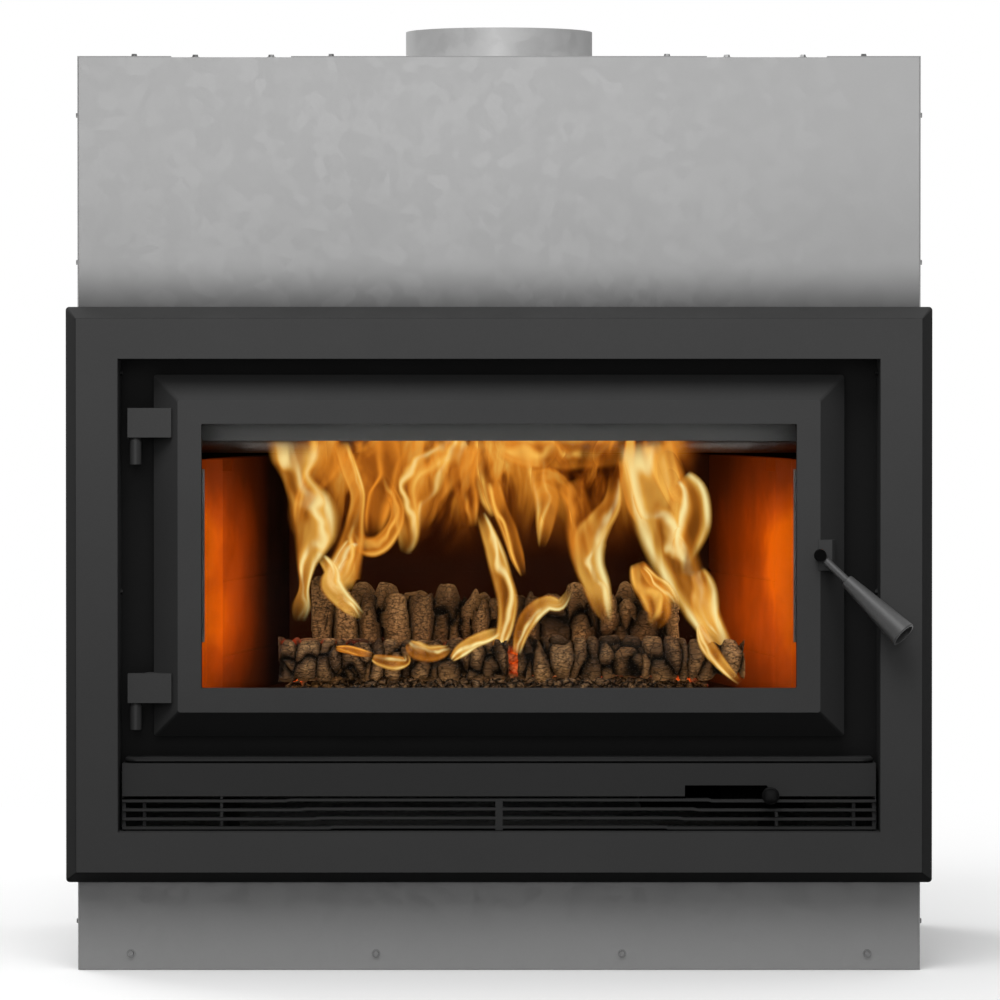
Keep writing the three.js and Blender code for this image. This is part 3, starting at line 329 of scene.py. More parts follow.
class Effects:
    """The effects that more than one finish uses, each a node group built once."""

    def __init__(self) -> None:
        """Builds every group."""
        self.spangle = self._spangle()
        self.coat = self._coat()
        self.char = self._char()
        self.firelight = self._firelight()

    def _spangle(self) -> Tree:
        """Builds the zinc crystals of galvanised sheet, with a slow drift over it."""
        tree, sheet, given, out = new_group(
            "zinc_spangle",
            [("Colour", COLOUR, grey(170)), ("Crystals", FLOAT, 70.0), ("Contrast", FLOAT, 0.1)],
            [("Colour", COLOUR), ("Roughness", FLOAT), ("Height", FLOAT)],
        )
        place = sheet.place()
        bent = sheet.add("ShaderNodeVectorMath", operation="ADD")
        wander = sheet.add("ShaderNodeTexNoise", {"Vector": place, "Scale": 30.0, "Detail": 2.0})
        shift = sheet.add("ShaderNodeVectorMath", {0: wander.outputs[1], 3: 0.012}, operation="SCALE")
        sheet.feed(bent.inputs[0], place)
        sheet.feed(bent.inputs[1], shift.outputs[0])
        crystals = {"Vector": bent.outputs[0], "Scale": given["Crystals"]}
        cells = sheet.add("ShaderNodeTexVoronoi", crystals)
        level = sheet.add("ShaderNodeSeparateColor", {0: cells.outputs["Color"]}).outputs[0]
        fine = sheet.noise(place, 260.0, 4.0, 0.7)
        broad = sheet.noise(place, 5.0, 3.0)
        mixed = sheet.plus(sheet.times(level, 0.4), sheet.times(fine, 0.6))
        swing = sheet.swing(mixed, given["Contrast"])
        drift = sheet.swing(broad, 0.1)
        gain = sheet.plus(sheet.plus(swing, drift), 1.0)
        sheet.feed(out["Colour"], sheet.scaled(given["Colour"], gain))
        sheet.feed(out["Roughness"], sheet.span(mixed, 0.2, 0.8, (0.34, 0.56)))
        sheet.feed(out["Height"], sheet.times(fine, 0.6))
        return tree

    def _coat(self) -> Tree:
        """Builds a sprayed coat: grain, mottle and pale dust on faces that look up.

        Faces that turn sideways, down or half up get painted shade and are duller, and all paint is a little
        lighter upwards, as painted light from above.

        Returns:
            The group's tree.
        """
        tree, sheet, given, out = new_group(
            "sprayed_coat",
            [
                ("Colour", COLOUR, grey(50)),
                ("Grain scale", FLOAT, 900.0),
                ("Mottle", FLOAT, 0.15),
                ("Gloss spread", FLOAT, 0.12),
                ("Base roughness", FLOAT, 0.5),
                ("Dust", FLOAT, 0.1),
                ("Turned", FLOAT, 0.0),
            ],
            [("Colour", COLOUR), ("Roughness", FLOAT), ("Height", FLOAT)],
        )
        place = sheet.place()
        grain = sheet.noise(place, given["Grain scale"], 2.0, 0.6)
        cloud = sheet.noise(place, 9.0, 5.0, 0.6)
        swing = sheet.swing(cloud, given["Mottle"])
        speck = sheet.swing(grain, given["Mottle"])
        gain = sheet.plus(sheet.plus(swing, speck), 1.0)
        painted = sheet.scaled(given["Colour"], gain)
        # Painted shade: faces that turn sideways, down or half up are darkened towards near black, as far as
        # Turned says.
        facing = sheet.parts(sheet.add("ShaderNodeTexCoord").outputs["Normal"])
        sideways = sheet.span(sheet.math("ABSOLUTE", facing[0]), 0.04, 0.4, (0.0, 0.5))
        above = sheet.span(facing[2], 0.05, 0.5, (0.0, 0.5))
        below = sheet.span(sheet.times(facing[2], -1.0), 0.04, 0.4, (0.0, 0.9))
        hidden = sheet.math("MAXIMUM", sheet.math("MAXIMUM", sideways, above), below)
        darkened = sheet.times(hidden, given["Turned"])
        painted = sheet.blend(darkened, painted, grey(4))
        # Painted light: all paint grows lighter upwards, as if lit more from above.
        rising = sheet.span(sheet.parts(place)[2], *PAINT_RISE, (0.84, 1.22))
        painted = sheet.scaled(painted, rising)
        upward = sheet.span(facing[2], 0.6, 1.0)
        lying = sheet.times(sheet.times(upward, cloud), given["Dust"])
        sheet.feed(out["Colour"], sheet.blend(lying, painted, grey(150)))
        spread = sheet.swing(cloud, given["Gloss spread"])
        dull = sheet.plus(sheet.plus(given["Base roughness"], spread), darkened)
        sheet.feed(out["Roughness"], sheet.math("MINIMUM", dull, 1.0))
        sheet.feed(out["Height"], grain)
        return tree

    def _char(self) -> Tree:
        """Builds charred wood: ashy blocks, black cracks, the fire's light and heat in some cracks."""
        tree, sheet, given, out = new_group(
            "char_blocks",
            [("Edge", FLOAT, 0.5), ("Tone", FLOAT, 0.5), ("Heat", FLOAT, 0.0), ("Lit", FLOAT, 0.3)],
            [("Colour", COLOUR), ("Glow", COLOUR), ("Height", FLOAT)],
        )
        place = sheet.place()
        crack = sheet.span(given["Edge"], 0.03, 0.2)
        checked = sheet.add("ShaderNodeMapping", {0: place, "Scale": (75.0, 75.0, 260.0)}).outputs[0]
        wander = sheet.add("ShaderNodeTexNoise", {"Vector": checked, "Scale": 0.7, "Detail": 2.0})
        bent = sheet.add("ShaderNodeVectorMath", {0: checked, 1: wander.outputs[1]}, operation="ADD")
        check = sheet.span(sheet.cracks(bent.outputs[0], 1.0), 0.01, 0.1, (0.3, 1.0))
        grain = sheet.noise(place, 300.0, 5.0, 0.7)
        drawn = sheet.add("ShaderNodeMapping", {0: place, "Scale": (160.0, 900.0, 900.0)}).outputs[0]
        fibre = sheet.noise(drawn, 1.0, 3.0, 0.6)
        ash = sheet.times(sheet.span(grain, 0.32, 0.68), sheet.span(given["Edge"], 0.15, 0.6))
        dark = sheet.blend(given["Tone"], linear(44, 34, 26), linear(92, 74, 54))
        pale = sheet.blend(given["Tone"], linear(112, 92, 68), linear(176, 150, 116))
        block = sheet.scaled(sheet.blend(ash, dark, pale), check)
        shade = sheet.blend(crack, linear(5, 4, 3), block)
        sheet.feed(out["Colour"], shade)
        lit = sheet.add("ShaderNodeCombineColor", {
            0: given["Lit"],
            1: sheet.times(given["Lit"], 0.72),
            2: sheet.times(given["Lit"], 0.42),
        }).outputs[0]
        warm = sheet.blend(1.0, shade, lit, "MULTIPLY")
        gap = sheet.math("SUBTRACT", 1.0, sheet.times(crack, 0.6))
        hot = sheet.times(given["Heat"], gap)
        ember = sheet.ramp(hot, [
            (0.0, 0.0),
            (0.3, (0.3, 0.02, 0.0)),
            (0.6, (0.9, 0.12, 0.005)),
            (1.0, (1.0, 0.5, 0.12)),
        ])
        sheet.feed(out["Glow"], sheet.blend(1.0, warm, ember, "ADD"))
        rough = sheet.times(sheet.plus(grain, fibre), 0.5)
        deep = sheet.plus(crack, sheet.times(check, 0.4))
        sheet.feed(out["Height"], sheet.plus(deep, rough))
        return tree

    def _firelight(self) -> Tree:
        """Builds the glow that the fire throws on what stands round it, strongest at the front corners."""
        tree, sheet, given, out = new_group(
            "firelight",
            [("Strength", FLOAT, 1.0), ("Near", FLOAT, -0.228), ("Far", FLOAT, -0.02)],
            [("Colour", COLOUR)],
        )
        place = sheet.place()
        axes = sheet.parts(place)
        depth = sheet.add("ShaderNodeMapRange", interpolation_type="LINEAR", clamp=True)
        for key, value in (
            (0, axes[1]), (1, given["Near"]), (2, given["Far"]), (3, 1.0), (4, 0.0),
        ):
            sheet.feed(depth.inputs[key], value)
        low = sheet.span(axes[2], *GLOW_COMES, (0.45, 1.0))
        high = sheet.span(axes[2], *GLOW_GOES, (1.0, 0.42))
        soot = sheet.span(sheet.noise(place, 7.0, 4.0, 0.6), 0.3, 0.7, (0.75, 1.1))
        held = sheet.times(sheet.times(low, high), soot)
        level = sheet.times(sheet.times(depth.outputs[0], held), given["Strength"])
        sheet.feed(out["Colour"], sheet.ramp(level, [
            (0.0, 0.0),
            (0.2, (0.035, 0.004, 0.0)),
            (0.5, (0.2, 0.022, 0.0)),
            (0.8, (0.5, 0.06, 0.0)),
            (1.0, (0.78, 0.115, 0.0)),
        ]))
        return tree


@dataclass(frozen=True)
class Finish:
    """A finish: a Principled surface whose values over the surface come from a group.

    Attributes:
        name: The material's name.
        metallic: Metallic value.
        specular: Specular level.
        bump: Height of the grain in metres.
    """

    name: str
    metallic: float = 0.0
    specular: float = 0.5
    bump: float = 0.0002

    def start(self) -> tuple[Material, Sheet, Node]:
        """Makes the material with an unlinked Principled surface.

        Returns:
            The material, its sheet and its Principled node.
        """
        material = bpy.data.materials.new(self.name)
        material.use_nodes = True
        material.node_tree.nodes.clear()
        sheet = Sheet(material.node_tree)
        surface = sheet.add("ShaderNodeBsdfPrincipled")
        sheet.fill(surface, Metallic=self.metallic, Specular_IOR_Level=self.specular)
        out = sheet.add("ShaderNodeOutputMaterial")
        sheet.feed(out.inputs[0], surface.outputs[0])
        return material, sheet, surface

    def group(self, sheet: Sheet, tree: Tree, **values: Any) -> Node:
        """Places a group in the material.

        Args:
            sheet: The material's sheet.
            tree: The group's tree.
            **values: The group's inputs, with _ for a space in a name.

        Returns:
            The group node.
        """
        node = sheet.add("ShaderNodeGroup", node_tree=tree)
        sheet.fill(node, **values)
        return node

    def roughen(self, sheet: Sheet, surface: Node, height: Socket) -> None:
        """Feeds a height into the surface's Normal through a Bump node."""
        bump = sheet.add("ShaderNodeBump", {"Strength": 1.0, "Distance": self.bump, "Height": height})
        sheet.feed(surface.inputs["Normal"], bump.outputs[0])


@dataclass(frozen=True)
class Galvanised(Finish):
    """Zinc-coated sheet with faint crystals.

    Attributes:
        colour: The zinc's colour.
        shaded: True where painted shadow darkens the sheet above and below the surround.
        contrast: How much its crystals differ.
    """

    colour: Colour = grey(168)
    shaded: bool = False
    contrast: float = 0.3

    def build(self, effects: Effects) -> Material:
        """Returns the material."""
        material, sheet, surface = self.start()
        zinc = self.group(sheet, effects.spangle, Colour=self.colour, Contrast=self.contrast)
        colour = zinc.outputs["Colour"]
        # Painted shadow: the sheet darkens just over the surround, and the lower panel under it is darker,
        # most towards the surround.
        if self.shaded:
            axes = sheet.parts(sheet.place())
            upper = sheet.span(axes[2], *UPPER_SHADE, (0.85, 1.0))
            seam = sheet.span(axes[2], *SEAM_SHADE, (0.24, 1.0))
            lower = sheet.span(axes[2], *FOOT_SHADE, (0.64, 0.41))
            under = sheet.math("LESS_THAN", axes[2], PANELS_PART)
            over = sheet.times(upper, seam)
            gain = sheet.add("ShaderNodeMix", {0: under, 2: over, 3: lower}, data_type="FLOAT").outputs[0]
            colour = sheet.scaled(colour, gain)
        sheet.fill(surface, Base_Color=colour, Roughness=zinc.outputs["Roughness"])
        self.roughen(sheet, surface, zinc.outputs["Height"])
        return material


@dataclass(frozen=True)
class Paint(Finish):
    """Sprayed high-temperature paint.

    Attributes:
        colour: The paint's colour.
        roughness: Middle of its roughness.
        grain: Scale of its grain.
        mottle: How far its colour varies.
        dust: How much pale dust lies on faces that look up.
        turned: How much painted shade darkens the faces that turn sideways, down or half up.
    """

    colour: Colour = grey(48)
    roughness: float = 0.5
    grain: float = 900.0
    mottle: float = 0.2
    dust: float = 0.08
    turned: float = 1.0

    def build(self, effects: Effects) -> Material:
        """Returns the material."""
        material, sheet, surface = self.start()
        coat = self.group(
            sheet,
            effects.coat,
            Colour=self.colour,
            Grain_scale=self.grain,
            Mottle=self.mottle,
            Base_roughness=self.roughness,
            Dust=self.dust,
            Turned=self.turned,
        )
        sheet.fill(surface, Base_Color=coat.outputs["Colour"], Roughness=coat.outputs["Roughness"])
        self.roughen(sheet, surface, coat.outputs["Height"])
        return material


@dataclass(frozen=True)
class Board(Finish):
    """Refractory board, sooted at the back and lit by the fire; its dark colours are soot and painted shade.

    Attributes:
        lit: Strength of the fire's glow on it.
        near: Depth at which the glow is full.
        far: Depth at which the glow has gone.
        colour: The board's colour: clean by default, very dark in the linings as soot and painted shade.
    """

    lit: float = 1.0
    near: float = -0.228
    far: float = -0.02
    colour: Colour = linear(92, 60, 40)

    def build(self, effects: Effects) -> Material:
        """Returns the material."""
        material, sheet, surface = self.start()
        place = sheet.place()
        grit = sheet.noise(place, 320.0, 5.0, 0.7)
        cloud = sheet.noise(place, 11.0, 4.0)
        stained = sheet.blend(sheet.span(cloud, 0.3, 0.7), self.colour, linear(48, 30, 22))
        pitted = sheet.blend(sheet.span(grit, 0.55, 0.75, (0.0, 0.5)), stained, grey(24))
        sheet.fill(surface, Base_Color=pitted, Roughness=sheet.span(grit, 0.2, 0.8, (0.85, 1.0)))
        self.roughen(sheet, surface, grit)
        glow = self.group(sheet, effects.firelight, Strength=self.lit, Near=self.near, Far=self.far)
        sheet.fill(surface, Emission_Color=glow.outputs["Colour"], Emission_Strength=1.0)
        return material


@dataclass(frozen=True)
class Char(Finish):
    """Charred wood, which reads its blocks from the piece's own attribute.

    Attributes:
        lit: How strongly the fire lights the blocks.
        strength: Emission strength.
    """

    lit: float = 0.5
    strength: float = 1.0

    def build(self, effects: Effects) -> Material:
        """Returns the material."""
        material, sheet, surface = self.start()
        marks = sheet.add("ShaderNodeAttribute", attribute_name="char").outputs["Vector"]
        edge, tone, heat = sheet.parts(marks)
        patches = sheet.span(sheet.noise(sheet.place(), 60.0, 3.0), 0.35, 0.65)
        char = self.group(sheet, effects.char, Edge=edge, Tone=tone, Heat=sheet.times(heat, patches))
        self.finish(sheet, surface, char)
        return material

    def finish(self, sheet: Sheet, surface: Node, char: Node) -> None:
        """Lays the char group into the surface.

        Args:
            sheet: The material's sheet.
            surface: Its Principled node.
            char: The group, with its edge, tone and heat.
        """
        sheet.fill(char, Lit=self.lit)
        rough = sheet.span(sheet.noise(sheet.place(), 90.0), 0.3, 0.7, (0.75, 0.98))
        sheet.fill(surface, Base_Color=char.outputs["Colour"], Roughness=rough)
        sheet.fill(surface, Emission_Color=char.outputs["Glow"], Emission_Strength=self.strength)
        self.roughen(sheet, surface, char.outputs["Height"])


@dataclass(frozen=True)
class Coal(Char):
    """Loose coals and ash, which read their blocks from cells in space."""

    def build(self, effects: Effects) -> Material:
        """Returns the material."""
        material, sheet, surface = self.start()
        place = sheet.place()
        edge = sheet.times(sheet.cracks(place, 95.0), 1.5)
        behind = sheet.span(sheet.parts(place)[1], *COALS_GLOW)
        heat = sheet.times(sheet.span(sheet.noise(place, 26.0, 3.0), 0.42, 0.68), behind)
        char = self.group(sheet, effects.char, Edge=edge, Tone=sheet.noise(place, 70.0, 2.0), Heat=heat)
        self.finish(sheet, surface, char)
        return material


@dataclass(frozen=True)
class Rope(Finish):
    """Woven glass-fibre rope, greyed by use."""

    colour: Colour = grey(70)

    def build(self, effects: Effects) -> Material:
        """Returns the material."""
        material, sheet, surface = self.start()
        place = sheet.place()
        weave = sheet.add(
            "ShaderNodeTexWave",
            {"Vector": place, "Scale": 160.0, "Distortion": 3.0, "Detail": 2.0},
            wave_type="BANDS",
            bands_direction="DIAGONAL",
        ).outputs[1]
        soot = sheet.noise(place, 20.0, 4.0)
        thread = sheet.blend(sheet.span(weave, 0.2, 0.8), grey(22), self.colour)
        darkened = sheet.blend(sheet.span(soot, 0.45, 0.7), thread, grey(16))
        sheet.fill(surface, Base_Color=darkened, Roughness=sheet.span(weave, 0.0, 1.0, (0.85, 1.0)))
        self.roughen(sheet, surface, weave)
        return material


@dataclass(frozen=True)
class ClearGlass(Finish):
    """Ceramic glass with a light smoke film round its edge.

    Attributes:
        half_width: Half the pane's width.
        half_height: Half the pane's height.
        mid: Height of the pane's middle.
        bend: Index of refraction, low so that the thin pane hardly bends or mirrors.
    """

    half_width: float = 0.314
    half_height: float = 0.1425
    mid: float = 0.431
    bend: float = 1.06

    def build(self, effects: Effects) -> Material:
        """Returns the material."""
        material, sheet, surface = self.start()
        axes = sheet.parts(sheet.place())
        across = sheet.math("DIVIDE", sheet.math("ABSOLUTE", axes[0]), self.half_width)
        rise = sheet.math("SUBTRACT", axes[2], self.mid)
        upright = sheet.math("DIVIDE", sheet.math("ABSOLUTE", rise), self.half_height)
        edge = sheet.math("MAXIMUM", across, upright)
        patch = sheet.noise(sheet.place(), 16.0, 4.0)
        film = sheet.times(sheet.span(edge, 0.9, 1.0), patch)
        smoked = sheet.blend(film, (0.97, 0.97, 0.96), grey(150))
        sheet.fill(surface, Base_Color=smoked, Roughness=sheet.span(film, 0.0, 1.0, (0.0, 0.04)))
        sheet.fill(surface, Transmission_Weight=1.0, IOR=self.bend)
        return material


class Fold(Enum):
    """What part of the fire a flame material draws."""

    VEIL = "veil"
    CORE = "core"
    WALL = "wall"


@dataclass(frozen=True)
class Flame(Finish):
    """Flame: translucent folds with one bright rim, read from the ribbon's own map and its brightness.

    Attributes:
        fold: What part of the fire it draws.
        strength: Emission strength.
        body: How solid a fold is.
        seed: Offset of its tearing.
    """

    fold: Fold = Fold.VEIL
    strength: float = 1.0
    body: float = 1.0
    seed: float = 0.0

    def build(self, effects: Effects) -> Material:
        """Returns the material."""
        material, sheet, surface = self.start()
        heat, alpha = self._wall(sheet) if self.fold is Fold.WALL else self._ribbon(sheet)
        shade = sheet.ramp(heat, [
            (0.0, (0.1, 0.016, 0.001)),
            (0.2, (0.34, 0.075, 0.005)),
            (0.42, (0.8, 0.26, 0.022)),
            (0.66, (0.97, 0.5, 0.085)),
            (0.95, (1.0, 0.82, 0.36)),
        ])
        sheet.fill(surface, Emission_Color=shade, Emission_Strength=self.strength, Alpha=alpha)
        sheet.fill(surface, Base_Color=(0.0, 0.0, 0.0), Roughness=1.0, Specular_IOR_Level=0.0)
        return material

    def _streaks(self, sheet: Sheet, scale: Point, distortion: float, detail: float = 3.0) -> Socket:
        """Returns a noise drawn out along the flame's way, from 0 to 1."""
        mapped = {0: sheet.place(), 1: (self.seed, 0.0, self.seed), "Scale": scale}
        place = sheet.add("ShaderNodeMapping", mapped)
        streaks = {"Vector": place.outputs[0], "Scale": 1.0, "Detail": detail, "Roughness": 0.45}
        return sheet.add("ShaderNodeTexNoise", {**streaks, "Distortion": distortion}).outputs[0]

    def _ribbon(self, sheet: Sheet) -> tuple[Socket, Socket]:
        """Returns heat and alpha of a tongue."""
        axes = sheet.parts(sheet.add("ShaderNodeUVMap", uv_map="flame").outputs[0])
        gain = sheet.add("ShaderNodeAttribute", attribute_name="gain").outputs["Fac"]
        tear = self._streaks(sheet, (20.0, 12.0, 13.0), 0.4, 2.0)
        fold = self._streaks(sheet, (34.0, 14.0, 13.0), 0.5, 2.0)
        foot = sheet.span(axes[1], 0.0, 0.12)
        tip = sheet.span(axes[1], 0.7, 1.0, (1.0, 0.0))
        ends = sheet.times(foot, tip)
        if self.fold is Fold.CORE:
            middle = sheet.span(tear, 0.3, 0.7, (0.15, 0.85))
            off = sheet.math("ABSOLUTE", sheet.math("SUBTRACT", axes[0], middle))
            inner = sheet.span(axes[0], 0.0, 0.15)
            shape = sheet.times(sheet.span(off, 0.0, 0.3, (1.0, 0.0)), sheet.math(
                "MULTIPLY", inner, sheet.span(axes[0], 0.85, 1.0, (1.0, 0.0))))
            heat = sheet.times(sheet.math("MULTIPLY_ADD", shape, 0.45, 0.5), gain)
            solid = sheet.times(shape, sheet.span(fold, 0.35, 0.6, (0.1, 0.95)))
        else:
            centre = sheet.times(sheet.math("ABSOLUTE", sheet.math("SUBTRACT", axes[0], 0.5)), 2.0)
            wide = sheet.plus(centre, sheet.swing(tear, 0.5))
            outer = sheet.span(wide, 0.6, 1.0, (1.0, 0.0))
            rim = sheet.times(sheet.span(wide, 0.2, 0.7), sheet.span(axes[0], 0.2, 0.8, (0.25, 1.0)))
            thick = sheet.span(fold, 0.3, 0.65, (0.3, 0.62))
            warm = sheet.math("MULTIPLY_ADD", rim, 0.4, thick)
            heat = sheet.times(sheet.times(warm, sheet.math("MULTIPLY_ADD", outer, 0.4, 0.6)), gain)
            solid = sheet.times(outer, sheet.math("MULTIPLY_ADD", rim, 0.35, thick))
        return heat, sheet.times(sheet.times(solid, self.body), ends)

    def _wall(self, sheet: Sheet) -> tuple[Socket, Socket]:
        """Returns heat and alpha of the wall of fire."""
        axes = sheet.parts(sheet.place())
        fold = self._streaks(sheet, (17.0, 5.0, 8.0), 2.0, 3.0)
        fine = self._streaks(sheet, (44.0, 5.0, 11.0), 1.2)
        mixed = sheet.plus(sheet.times(fold, 0.8), sheet.times(fine, 0.2))
        rise = sheet.span(axes[2], *WALL_RISE)
        ends = sheet.span(sheet.math("ABSOLUTE", axes[0]), *WALL_ENDS, (1.0, 0.0))
        level = sheet.times(sheet.math("MULTIPLY_ADD", rise, 0.75, 0.25), ends)
        heat = sheet.times(sheet.span(mixed, 0.34, 0.68), level)
        solid = sheet.times(sheet.span(mixed, 0.3, 0.6, (0.1, 1.0)), sheet.times(ends, rise))
        return sheet.times(heat, 0.66), sheet.times(solid, self.body)


# ---------------------------------------------------------------- meshes


def mesh_object(name: str, mesh: bpy.types.Mesh) -> Item:
    """Puts a mesh in the scene as an object at the origin."""
    item = bpy.data.objects.new(name, mesh)
    bpy.context.scene.collection.objects.link(item)
    return item


def fix_plain(item: Item) -> Item:
    """Turns an object with modifiers into a plain mesh of its evaluated shape.

    Args:
        item: The object.

    Returns:
        The same object, without modifiers.
    """
    graph = bpy.context.evaluated_depsgraph_get()
    graph.update()
    mesh = bpy.data.meshes.new_from_object(item.evaluated_get(graph))
    item.modifiers.clear()
    old = item.data
    item.data = mesh
    bpy.data.meshes.remove(old)
    return item


def wear_only(item: Item, finish: Material) -> None:
    """Gives a mesh one material and no other."""
    item.data.materials.clear()
    item.data.materials.append(finish)


def settle(item: Item, body: Body, slot: Slot, *nodes: str) -> None:
    """Makes a finished piece ride and hides the solids that it replaces.

    Args:
        item: The piece.
        body: The body it rides on.
        slot: Its material slot; not used.
        *nodes: The solids that it replaces.
    """
    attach(item, body.value)
    if nodes:
        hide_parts(*nodes)
    LOG.info("%s rides on %s", item.name, body.value)


@dataclass
class Soften:
    """Makes a dressed copy of a solid, with its edges rounded so that they catch the light.

    Attributes:
        width: Width of the rounding, or 0 to leave the shape and only shade it round.
        segments: Faces across the rounding.
        angle: Smallest angle, in degrees, of an edge that is rounded.
        across: X of the planes that part flat faces with holes in them.
        level: Z of the planes that do the same.
    """

    width: float = 0.0
    segments: int = 2
    angle: float = 35.0
    across: Sequence[float] = ()
    level: Sequence[float] = ()

    def put(self, nodes: Nodes, source: str, name: str, finish: Material, body: Body, slot: Slot) -> None:
        """Puts a dressed copy in the place of a solid.

        Args:
            nodes: The solids by name.
            source: The solid's name.
            name: The copy's name.
            finish: Its material.
            body: The body it rides on.
            slot: Its material slot.
        """
        settle(self.copy(nodes[source], name, finish), body, slot, source)

    def _tidy(self, shape: Shape) -> Shape:
        """Joins the triangles of each flat face, but keeps them apart where a face would close over a hole.

        Args:
            shape: The merged triangles.

        Returns:
            The tidied mesh, or the given one where tidying would have changed its area.
        """
        tidy = shape.copy()
        planes = [(Vector((1, 0, 0)), place) for place in self.across]
        planes += [(Vector((0, 0, 1)), place) for place in self.level]
        for normal, place in planes:
            parts = [*tidy.verts, *tidy.edges, *tidy.faces]
            bmesh.ops.bisect_plane(tidy, geom=parts, plane_co=normal * place, plane_no=normal, dist=1e-7)

        def parted(edge: bmesh.types.BMEdge) -> bool:
            """Tells whether an edge lies in one of the planes."""
            return any(
                all(abs(vertex.co.dot(normal) - place) < 1e-6 for vertex in edge.verts)
                for normal, place in planes
            )

        loose = [edge for edge in tidy.edges if not parted(edge)]
        bmesh.ops.dissolve_limit(
            tidy, angle_limit=math.radians(0.5), verts=tidy.verts, edges=loose, use_dissolve_boundaries=False
        )
        before, after = (sum(face.calc_area() for face in each.faces) for each in (shape, tidy))
        if abs(after - before) < 1e-6:
            shape.free()
            return tidy
        tidy.free()
        return shape

    def copy(self, node: Item, name: str, material: Material) -> Item:
        """Builds the copy.

        Args:
            node: The solid's object.
            name: The copy's name.
            material: Its material.

        Returns:
            The copy, as a plain mesh at the origin.
        """
        mesh = node.data.copy()
        mesh.materials.clear()
        mesh.materials.append(material)
        shape = bmesh.new()
        shape.from_mesh(mesh)
        bmesh.ops.remove_doubles(shape, verts=shape.verts, dist=2e-6)
        shape = self._tidy(shape)
        for face in shape.faces:
            face.smooth = True
            face.material_index = 0
        shape.to_mesh(mesh)
        shape.free()
        item = mesh_object(name, mesh)
        if self.width > 0:
            bevel = item.modifiers.new("soft", "BEVEL")
            bevel.width = self.width
            bevel.segments = self.segments
            bevel.limit_method = "ANGLE"
            bevel.angle_limit = math.radians(self.angle)
            even = item.modifiers.new("flat", "WEIGHTED_NORMAL")
            even.mode = "FACE_AREA"
            even.weight = 100
            even.keep_sharp = False
        fix_plain(item)
        if self.width <= 0:
            sharp = bmesh.new()
            sharp.from_mesh(item.data)
            limit = math.radians(self.angle)
            for edge in sharp.edges:
                edge.smooth = len(edge.link_faces) == 2 and edge.calc_face_angle(0.0) < limit
            sharp.to_mesh(item.data)
            sharp.free()
        return item


class GeometryTree:
    """A Geometry Nodes tree with named inputs that ends in realised instances and a set material."""

    def __init__(self, name: str) -> None:
        """Starts the tree with its geometry and material sockets."""
        self.tree = bpy.data.node_groups.new(name, "GeometryNodeTree")
        self.sheet = Sheet(self.tree)
        face = self.tree.interface
        face.new_socket("Geometry", in_out="INPUT", socket_type="NodeSocketGeometry")
        face.new_socket("Geometry", in_out="OUTPUT", socket_type="NodeSocketGeometry")
        self.ids: dict[str, str] = {}
        self.input("Finish", "NodeSocketMaterial", None)
        self.given: Any = None

    def input(self, name: str, kind: str, value: Any) -> None:
        """Adds a named input."""
        socket = self.tree.interface.new_socket(name, in_out="INPUT", socket_type=kind)
        if value is not None:
            socket.default_value = value
        self.ids[name] = socket.identifier

    def begin(self) -> Any:
        """Returns what comes into the tree, once every input is named."""
        self.given = self.sheet.add("NodeGroupInput").outputs
        return self.given

    def end(self, geometry: Socket, smooth: bool = True) -> None:
        """Realises the instances, sets shading and material, and closes the tree."""
        real = self.sheet.add("GeometryNodeRealizeInstances", {0: geometry})
        shaded = self.sheet.add("GeometryNodeSetShadeSmooth", {0: real.outputs[0]})
        shaded.inputs["Shade Smooth"].default_value = smooth
        done = self.sheet.add("GeometryNodeSetMaterial", {"Geometry": shaded.outputs[0]})
        self.sheet.feed(done.inputs["Material"], self.given["Finish"])
        out = self.sheet.add("NodeGroupOutput")
        self.sheet.feed(out.inputs[0], done.outputs[0])

    def grow(self, item: Item, finish: Material, **values: Any) -> Item:
        """Runs the tree on an object and leaves a plain mesh.

        Args:
            item: The object that holds the tree's input geometry.
            finish: The material.
            **values: The inputs, with _ for a space in a name.

        Returns:
            The same object as a plain mesh.
        """
        modifier = item.modifiers.new("pattern", "NODES")
        modifier.node_group = self.tree
        modifier[self.ids["Finish"]] = finish
        for key, value in values.items():
            modifier[self.ids[key.replace("_", " ")]] = value
        fix_plain(item)
        wear_only(item, finish)
        return item


def seeds(name: str, places: Sequence[tuple[Point, Point]]) -> Item:
    """Makes loose points, each with the direction that what grows there faces.

    Args:
        name: The object's name.
        places: Places and directions.

    Returns:
        The object.
    """
    mesh = bpy.data.meshes.new(name)
    mesh.from_pydata([place for place, _ in places], [], [])
    facing = mesh.attributes.new("facing", "FLOAT_VECTOR", "POINT")
    for index, (_, direction) in enumerate(places):
        facing.data[index].vector = direction
    return mesh_object(name, mesh)


